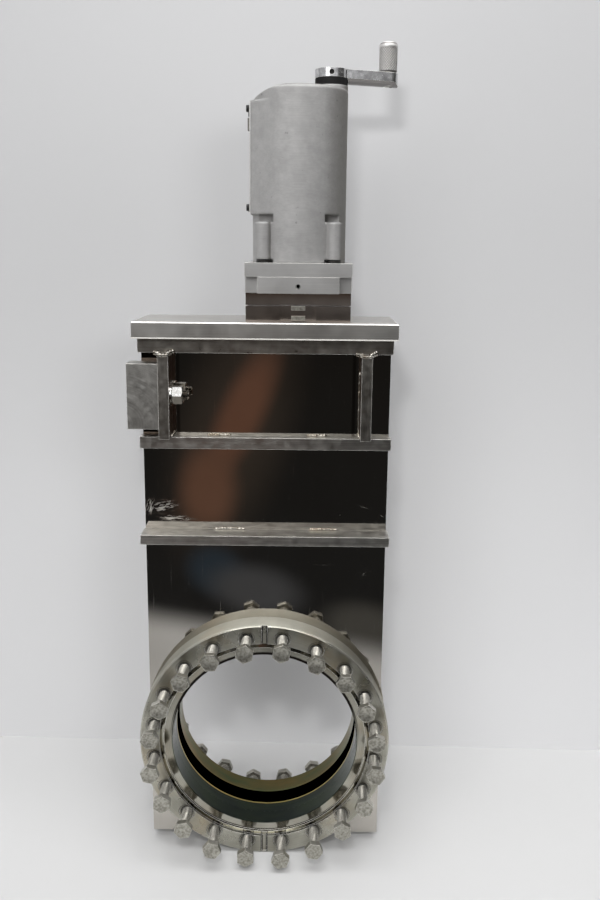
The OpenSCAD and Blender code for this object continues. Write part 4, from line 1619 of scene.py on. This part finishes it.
@dataclass
class SideBlock:
    """The stop block on the left, held by one bolt.

    Attributes:
        left: The block's left face, where the bolt's head sits.
        bolt_y: The bolt's axis from front to back.
        bolt_z: Height of the bolt's axis.
        nut_x: The nut's left face.
        nut: Thickness of the nut.
        across_flats: Width of the nut across its flats.
        cone: Slope of the chamfer on the nut's corners, in degrees.
        crown: Radius of the nut's end faces, as a share of half its flats' distance.
        bore_gap: How much wider the nut's bore is than the bolt, on the radius.
        bore_edge: Chamfer of the bore.
        tip: How far the bolt stands out of the nut.
        point: Height of the chamfer on its tip.
        threaded: Length of its thread.
        head: The bolt's head.
        thread: The bolt's thread.
    """

    left: float = -103.5
    bolt_y: float = -60.8
    bolt_z: float = 283.6
    nut_x: float = -70.4
    nut: float = 8.0
    across_flats: float = 13.0
    cone: float = 30.0
    crown: float = 0.96
    bore_gap: float = 0.2
    bore_edge: float = 0.5
    tip: float = 4.6
    point: float = 0.6
    threaded: float = 16.0
    head: SocketHead = SocketHead(13.0, 8.0, 6.0, 4.0, 0.6)
    thread: Thread = Thread(8.0, 1.25, 6)

    def lay_along_x(self, shell: Shell, x: float, side: int) -> Shell:
        """Turns a shape that stands on Z onto the bolt's axis at x, pointing right or (-1) left."""
        return shell.copies(turn_about("Y", [side * TURN / 4]), [(x, self.bolt_y, self.bolt_z)])

    def bolt(self) -> Shell:
        """Thread, shank and socket head in one skin, from the tip to the socket's floor.

        Returns:
            The closed surface, along Z.
        """
        angles = ring_angles(self.head.columns)
        r = self.thread.diameter / 2
        end = -(self.nut_x + self.nut + self.tip - self.left)
        rings = np.vstack([
            lathe([r - 0.9, r - 0.5], [end, end + self.point], angles),
            self.thread.rings(end + self.point + 0.1, end + self.threaded, angles),
            lathe([r, r], [end + self.threaded + 0.4, -self.head.height], angles),
            self.head.rings(-self.head.height),
        ])
        return Shell.over_rings(rings, (0, 0, end), (0, 0, -self.head.depth))

    def hex_nut(self) -> Shell:
        """A nut whose corners a cone takes off at both ends, with a bore through it.

        Returns:
            The closed surface, along Z.
        """
        angles = ring_angles(48)
        corner = hexagon_radius(self.across_flats, angles)
        crown = self.across_flats / 2 * self.crown
        cut = (corner - crown) * math.tan(math.radians(self.cone))
        bore, edge, top = self.thread.diameter / 2 + self.bore_gap, self.bore_edge, self.nut
        ones = np.ones_like(angles)
        profile = [(bore, edge), (bore + edge, 0), (crown, 0), (corner, cut), (corner, top - cut),
                   (crown, top), (bore + edge, top), (bore, top - edge)]
        radii, heights = (np.stack([part * ones for part in side]) for side in zip(*profile))
        return Shell.over_rings(lathe(radii, heights, angles))

    def build(self) -> None:
        """Dresses the block and makes its bolt and nut."""
        BLOCK_STEEL.dress("side_block")
        NUT_STEEL.dress("side_block_washer")
        self.lay_along_x(self.bolt(), self.left, -1).build(
            "block_bolt", Body.VALVE, OILED_STEEL, "bolt_steel", "side_block_bolt")
        self.lay_along_x(self.hex_nut(), self.nut_x, 1).build(
            "block_nut", Body.VALVE, NUT_STEEL, "bolt_steel", "side_block_nut")


@dataclass
class Neck:
    """The neck blocks, lock bars and the actuator's base plates.

    Attributes:
        axis_x: The actuator's axis from left to right.
        axis_y: The actuator's axis from front to back.
        foot: Distance of the base screws from the axis, along X and along Y.
        foot_z: Height of the base plate's top.
        turned: How each screw is turned, in degrees.
        head: A base screw's head.
    """

    axis_x: float = 24.2
    axis_y: float = -35.0
    foot: float = 26.0
    foot_z: float = 382.6
    turned: tuple[float, ...] = (5.0, 22.0, 41.0, 13.0)
    head: SocketHead = SocketHead(10.0, 2.4, 5.0, 1.6, 0.3, 0.15, 60)

    def build(self) -> None:
        """Dresses the neck and makes the base screws."""
        NECK_STEEL.dress("neck_lower", "neck_upper")
        BOLT_STEEL.dress("neck_bars")
        MILLED_ALUMINIUM.dress("lower_base", "upper_base")
        places = [(self.axis_x + self.foot * sx, self.axis_y + self.foot * sy, self.foot_z)
                  for sx in (-1, 1) for sy in (-1, 1)]
        self.head.shell().copies(turn_about("Z", np.radians(self.turned)), places).build(
            "base_screw_heads", Body.VALVE, BLACK_OXIDE, "black_steel", "base_screws")


@dataclass
class Housing:
    """The actuator's casting with its side cover.

    Attributes:
        cover_x: The cover's outer face.
        axis_y: The cover's middle from front to back.
        screw_y: Distance of the cover's screws from its middle.
        screw_z: Heights of the cover's screws.
        turned: How each screw is turned, in degrees.
        head: A cover screw's head.
    """

    cover_x: float = -12.4
    axis_y: float = -35.0
    screw_y: float = 13.0
    screw_z: tuple[float, float] = (422.1, 491.5)
    turned: tuple[float, ...] = (8.0, 33.0, 20.0, 51.0)
    head: SocketHead = SocketHead(5.0, 2.4, 2.5, 1.4, 0.3, 0.0, 36)

    def build(self) -> None:
        """Dresses the casting and cover and makes the cover's screws."""
        CAST_ALUMINIUM.dress("housing")
        MILLED_ALUMINIUM.dress("side_cover")
        GREY_PLASTIC.dress("indicator_tab")
        BLACK_PLASTIC.dress("bearing_disc")
        places = [(self.cover_x, self.axis_y + sy * self.screw_y, z) for sy in (-1, 1) for z in self.screw_z]
        turns = turn_about("Y", [-TURN / 4]) @ turn_about("Z", np.radians(self.turned))
        self.head.shell().copies(turns, places).build(
            "cover_screw_heads", Body.VALVE, BLACK_OXIDE, "black_steel", "side_cover_screws")


@dataclass
class Crank:
    """The crank: its arm, set screw and knob.

    Attributes:
        axis_x: The crank's axis from left to right.
        axis_y: The crank's axis from front to back.
        angle: Direction of the arm in degrees, from the right towards the back.
        length: Distance from the crank's axis to the knob's.
        hub_r: Radius of the hub.
        screw_z: Height of the set screw.
        screw: The set screw, as a head all through.
        screw_sunk: How far it lies under the hub's surface.
        knob_z: The knob's lower end.
        knob_r: Radius of the knob.
        knob_length: Length of the knob.
        knob_edge: Radius of its upper edge.
        chamfer: Chamfer of its lower edge.
        knurl: Spacing of the knurl's ridges.
        knurl_depth: Depth of the knurl.
        knurl_end: Distance over which the knurl runs out under the upper edge.
        bore_r: Radius of the bore for the pin.
        roof: Thickness above that bore.
    """

    axis_x: float = 46.8
    axis_y: float = -35.0
    angle: float = 18.5
    length: float = 44.6
    hub_r: float = 12.0
    screw_z: float = 517.4
    screw: SocketHead = SocketHead(3.6, 6.5, 1.8, 1.4, 0.2, 0.0, 36)
    screw_sunk: float = 1.0
    knob_z: float = 521.8
    knob_r: float = 6.9
    knob_length: float = 21.0
    knob_edge: float = 3.6
    chamfer: float = 0.5
    knurl: float = 2.0
    knurl_depth: float = 0.55
    knurl_end: float = 1.5
    bore_r: float = 2.58
    roof: float = 4.0

    def set_screw(self) -> Shell:
        """The set screw, pointing at the shaft from the front."""
        foot = self.axis_y - self.hub_r + self.screw_sunk + self.screw.height
        return self.screw.shell().copies(turn_about("X", [TURN / 4]), [(self.axis_x, foot, self.screw_z)])

    def knob(self) -> Shell:
        """The knurled knob.

        Its profile runs up inside the bore's wall, is closed by the roof, and comes down the
        outside as a straight side under a quarter circle. The radius of the side loses the knurl's
        depth times the larger of two triangle waves, one over (angle + height) and one over
        (angle - height), which leaves diamonds.

        Returns:
            The closed surface.
        """
        ridges = round(TURN * self.knob_r / self.knurl)
        angles = ring_angles(ridges * 4)
        shoulder, edge = self.knob_length - self.knob_edge, np.linspace(0, TURN / 4, 9)[1:]
        side = np.linspace(self.chamfer, shoulder, 4 * int(self.knob_length / self.knurl))
        phase = ridges * angles[None, :] / TURN
        climb = side[:, None] / self.knurl
        waves = [np.abs(2 * ((phase + way * climb) % 1) - 1) for way in (-1, 1)]
        fade = np.clip((shoulder - side) / self.knurl_end, 0, 1)[:, None]
        knurled = self.knob_r - self.knurl_depth * np.maximum(*waves) * fade
        top = self.knob_length - self.roof
        rings = np.vstack([
            lathe([self.bore_r, self.bore_r, self.knob_r - self.chamfer], [top, 0.0, 0.0], angles),
            lathe(knurled, side, angles),
            lathe(self.knob_r - self.knob_edge * (1 - np.cos(edge)),
                  self.knob_length - self.knob_edge * (1 - np.sin(edge)), angles),
        ])
        shell = Shell.over_rings(rings, (0, 0, top), (0, 0, self.knob_length))
        way = math.radians(self.angle)
        return shell.copies(np.eye(3)[None], [(self.axis_x + self.length * math.cos(way),
                                               self.axis_y + self.length * math.sin(way), self.knob_z)])

    def build(self) -> None:
        """Dresses the crank and makes its set screw and knob."""
        BRUSHED_ALUMINIUM.dress("crank_arm")
        BOLT_STEEL.dress("crank_shaft", "crank_pin")
        self.set_screw().build("hub_set_screw", Body.CRANK, BLACK_OXIDE, "black_steel", "crank_set_screw")
        self.knob().build("knurled_knob", Body.KNOB, KNURLED_ALUMINIUM, "knob_aluminium", "crank_knob")


# ---- studio ------------------------------------------------------------------------------

FLOOR_Z = -0.1012


@dataclass(frozen=True)
class Camera:
    """The camera.

    Attributes:
        place: Where it stands, in metres.
        yaw: Its turn to the left of straight back, in radians.
        pitch: How far it looks down, in radians.
        roll: Its roll, in radians.
        lens: Focal length for the sensor's width.
        sensor: Width of the sensor, in millimetres.
    """

    place: Point = (0.03062, -0.75706, 0.39473)
    yaw: float = -0.00572
    pitch: float = 0.21615
    roll: float = 0.00996
    lens: float = 37.16
    sensor: float = 36.0

    def build(self) -> None:
        """Puts the camera into the scene, aimed by its three angles."""
        ahead = Vector((math.sin(self.yaw) * math.cos(self.pitch), math.cos(self.yaw) * math.cos(self.pitch),
                        -math.sin(self.pitch)))
        level = Vector((math.cos(self.yaw), -math.sin(self.yaw), 0.0))
        upright = level.cross(ahead)
        right = math.cos(self.roll) * level + math.sin(self.roll) * upright
        up = -math.sin(self.roll) * level + math.cos(self.roll) * upright
        data = bpy.data.cameras.new("camera")
        data.sensor_width = self.sensor
        data.lens = self.lens
        camera = bpy.data.objects.new("camera", data)
        axes = Matrix((right, up, -ahead)).transposed()
        camera.matrix_world = Matrix.Translation(self.place) @ axes.to_4x4()
        bpy.context.scene.collection.objects.link(camera)
        bpy.context.scene.camera = camera


@dataclass(frozen=True)
class Lamp:
    """A soft rectangular lamp.

    Attributes:
        name: Its name.
        place: Where it hangs, in metres.
        target: Where it points, in metres.
        size: Its two sides, in metres.
        power: Its power in watts.
        matt_only: Whether only matt surfaces show its light.
    """

    name: str
    place: Point
    target: Point
    size: tuple[float, float]
    power: float
    matt_only: bool = False

    def build(self) -> None:
        """Hangs the lamp."""
        data = bpy.data.lights.new(self.name, "AREA")
        data.shape = "RECTANGLE"
        data.size, data.size_y = self.size
        data.energy = self.power
        lamp = bpy.data.objects.new(self.name, data)
        lamp.location = self.place
        way = Vector(self.target) - Vector(self.place)
        lamp.rotation_euler = way.to_track_quat("-Z", "Y").to_euler()
        lamp.visible_glossy = not self.matt_only
        bpy.context.scene.collection.objects.link(lamp)


@dataclass(frozen=True)
class PaleBoard(Finish):
    """The painted floor or wall: matt, pale and slightly uneven.

    Attributes:
        light: Its colour.
        dark: The colour of its greyer patches.
        even: Share of its look that shows its own colour whatever light falls on it, as a background does.
        one_sided: Whether it can't be seen from behind.
        fall: Axis, start and end in metres, and the brightness that its own colour changes to between them:
            painted shade where it darkens, painted light where it brightens.
        roughness: How much it scatters a reflection.
        patch: Size of the greyer patches.
    """

    light: str
    dark: str
    even: float
    one_sided: bool
    fall: tuple[str, float, float, float]
    roughness: float = 0.55
    patch: float = 420.0

    def surface(self, on: Canvas) -> Socket:
        """Two close tones in very large patches, lit by the lamps and in part by itself.

        Args:
            on: The material's canvas.

        Returns:
            The shader.
        """
        tone = on.drift(self.patch, 0.0, 1.0, detail=1.0)
        paint = on.add("Mix", (tone, self.light, self.dark), data_type="RGBA")
        # Painted light and shade: the colour brightens or darkens along one axis
        axis, start, end, factor = self.fall
        changed = on.add("MapRange", (on.parts["XYZ".index(axis)], start, end, 1.0, factor),
                         interpolation_type="SMOOTHSTEP")
        paint = on.add("VectorMath", (paint, changed), operation="SCALE")
        board = on.add("BsdfPrincipled", {"Base Color": paint, "Roughness": self.roughness})
        seen = on.add("Math", (on.seen_rays(), self.even), operation="MULTIPLY")
        board = on.add("MixShader", (seen, board, on.add("Emission", (paint, 1.0))))
        if not self.one_sided:
            return board
        behind = on.add("NewGeometry", out="Backfacing")
        return on.add("MixShader", (behind, board, on.add("BsdfTransparent")))


@dataclass(frozen=True)
class Glow:
    """A soft light patch on a dark screen, from the middle of the screen's foot, in metres.

    Attributes:
        x: Its centre from left to right.
        z: Its height.
        width: Its half width.
        height: Its half height.
        angle: Its lean to the left in degrees.
        colour: Its colour.
        full: The part of a ball's fall-off, from its edge, over which it comes up.
    """

    x: float
    z: float
    width: float
    height: float
    angle: float
    colour: str
    full: float = 0.7

    def coat(self, on: Canvas) -> Coat:
        """The patch, with the soft fall-off of a ball seen from the front."""
        _, soft = on.ellipse((self.x, self.z), (self.width, self.height), self.angle, "SPHERICAL")
        return on.add("MapRange", (soft, 0.0, self.full), interpolation_type="SMOOTHSTEP"), self.colour


@dataclass(frozen=True)
class DarkScreen(Finish):
    """A dark cloth that stands round the valve, and that only metal sees.

    Attributes:
        high: Its colour at the top.
        low: Its colour at the foot.
        top: Its height, in metres.
        fade: How far down from the top it thins out to nothing.
        foot: How far up from the floor it does so.
        glows: The soft patches on it.
    """

    high: str
    low: str
    top: float
    fade: float
    foot: float
    glows: tuple[Glow, ...] = ()

    def surface(self, on: Canvas) -> Socket:
        """A dim light of its own, with soft patches, that thins out at the foot and at the top.

        Args:
            on: The material's canvas.

        Returns:
            The shader.
        """
        stretches = ((FLOOR_Z, self.top), (self.top - self.fade, self.top), (FLOOR_Z + self.foot, FLOOR_Z))
        rise, end, start = (on.add("MapRange", (on.parts[2], *stretch), interpolation_type="SMOOTHSTEP")
                            for stretch in stretches)
        colour = on.layered(on.add("Mix", (rise, self.low, self.high), data_type="RGBA"),
                            [glow.coat(on) for glow in self.glows])
        thin = on.add("Math", (end, start), operation="MAXIMUM")
        return on.add("MixShader", (thin, on.add("Emission", (colour, 1.0)), on.add("BsdfTransparent")))


@dataclass(frozen=True)
class Studio:
    """A pale floor and wall, soft lamps, and dark screens that only the metal's reflections see.

    Attributes:
        wall_y: The wall's distance behind the valve at x = 0.
        wall_slope: How much nearer the wall is for each metre to the right.
        screen_y: The front screen's distance in front of the valve at x = 0.
        screen_slope: How much nearer it is for each metre to the right.
        screen_reach: Half its width.
        side_x: The side screen's distance to the right.
        side_y: Where it starts and ends from front to back.
        reach: How far the floor and the wall reach each way.
        high: The wall's height.
        pale: Colour of the background.
        level: Strength of the world's light on the object.
        lamps: The lamps.
        front: The front screen's cloth.
        side: The side screen's cloth.
        floor: The floor's paint.
        wall: The wall's paint.
    """

    wall_y: float = 0.106
    wall_slope: float = -0.021
    screen_y: float = -0.421
    screen_slope: float = 0.347
    screen_reach: float = 0.9
    side_x: float = 0.65
    side_y: tuple[float, float] = (-0.7, 0.05)
    reach: float = 3.0
    high: float = 2.5
    pale: str = "#d0d0d1"
    level: float = 0.25
    lamps: tuple[Lamp, ...] = (
        Lamp("key", (-0.9, -1.9, 1.3), (0.0, -0.03, 0.25), (1.0, 1.0), 12.0),
        Lamp("ceiling", (0.0, -0.55, 2.1), (0.0, 0.0, 0.2), (2.0, 1.0), 33.0),
        Lamp("strip", (1.3, -0.7, 1.5), (0.0, -0.07, 0.0), (0.12, 0.9), 3.0),
        Lamp("near_left", (-0.018, -0.757, 0.60), (0.03, 0.10, 0.33), (0.07, 0.04), 2.7, True),
        Lamp("near_right", (0.26, -0.80, 0.55), (0.0, 0.10, 0.38), (0.22, 0.16), 2.0, True),
        Lamp("overhead", (0.0, -1.0, 1.9), (0.0, 0.10, 0.2), (1.6, 0.6), 6.0, True),
    )
    front: DarkScreen = DarkScreen(
        "dark_cloth", "#1d1b19", "#242424", 0.42, 0.12, 0.045,
        (Glow(-0.060, 0.17, 0.09, 0.22, 18.0, "#3a342f"), Glow(-0.045, 0.20, 0.036, 0.12, 25.0, "#6a4c3e"),
         Glow(-0.089, 0.10, 0.05, 0.08, 6.0, "#6a4e40"), Glow(-0.081, -0.003, 0.05, 0.045, 0.0, "#303942"),
         Glow(-0.030, -0.022, 0.08, 0.045, 0.0, "#4b4c4f"), Glow(0.105, -0.048, 0.07, 0.04, 0.0, "#4c4b48")))
    side: DarkScreen = DarkScreen("grey_cloth", "#2b2926", "#403e3a", 0.9, 0.3, 0.05)
    # Painted shade on the floor, darker towards the front; painted light on the wall, brighter lower down
    floor: PaleBoard = PaleBoard("floor_paint", "#c9c9c9", "#c4c4c4", 0.1, False, ("Y", -0.13, -0.42, 0.55))
    wall: PaleBoard = PaleBoard("wall_paint", "#b3b3b4", "#aeaeaf", 0.06, True, ("Z", 0.45, -0.12, 1.56))

    def sheet(self, name: str, corners: list[Point], finish: Finish) -> bpy.types.Object:
        """Makes a flat staged board.

        Args:
            name: Its name.
            corners: Its four corners, in metres.
            finish: Its finish.

        Returns:
            The board.
        """
        mesh = bpy.data.meshes.new(name)
        mesh.from_pydata(corners, [], [(0, 1, 2, 3)])
        mesh.materials.append(finish.material())
        board = bpy.data.objects.new(name, mesh)
        bpy.context.scene.collection.objects.link(board)
        return board

    def screen(self, name: str, left: tuple[float, float], right: tuple[float, float],
               cloth: DarkScreen) -> None:
        """Stands a screen on the floor, which only glossy rays meet.

        Args:
            name: Its name.
            left: X and Y of one end of its foot, in metres.
            right: X and Y of the other end.
            cloth: Its finish.
        """
        corners = [(*left, FLOOR_Z), (*left, cloth.top), (*right, cloth.top), (*right, FLOOR_Z)]
        board = self.sheet(name, corners, cloth)
        board.visible_camera = False
        board.visible_diffuse = False
        board.visible_transmission = False
        board.visible_shadow = False

    def world(self) -> None:
        """The background: pale where it is seen, directly or in metal or glass, and plain light elsewhere."""
        world = bpy.data.worlds.new("studio")
        bpy.context.scene.world = world
        world.use_nodes = True
        world.node_tree.nodes.clear()
        on = Canvas(world.node_tree)
        strength = on.add("MapRange", {"Value": on.seen_rays(), "To Min": self.level})
        on.add("OutputWorld", {"Surface": on.add("Background", (self.pale, strength))})

    def build(self) -> None:
        """Sets up the whole studio."""
        bpy.context.scene.view_settings.view_transform = "Standard"
        self.world()
        for lamp in self.lamps:
            lamp.build()
        far = self.reach
        left, right = (self.wall_y + side * self.wall_slope * far for side in (-1, 1))
        self.sheet("floor", [(-far, -far, FLOOR_Z), (far, -far, FLOOR_Z), (far, far, FLOOR_Z),
                             (-far, far, FLOOR_Z)], self.floor)
        self.sheet("wall", [(-far, left, FLOOR_Z), (far, right, FLOOR_Z), (far, right, self.high),
                            (-far, left, self.high)], self.wall)
        ends = [(side * self.screen_reach, self.screen_y + side * self.screen_slope * self.screen_reach)
                for side in (-1, 1)]
        self.screen("front_screen", *ends, self.front)
        self.screen("side_screen", *((self.side_x, y) for y in self.side_y), self.side)


def main() -> None:
    """Builds the studio and the valve's sub-assemblies from the port up."""
    logging.basicConfig(level=logging.INFO, format="%(name)s: %(message)s")
    Camera().build()
    Studio().build()
    FlatBody().dress()
    Port().build()
    Ribs().build()
    TopFlange().dress()
    SideBlock().build()
    Neck().build()
    Housing().build()
    Crank().build()


if __name__ == "__main__":
    main()
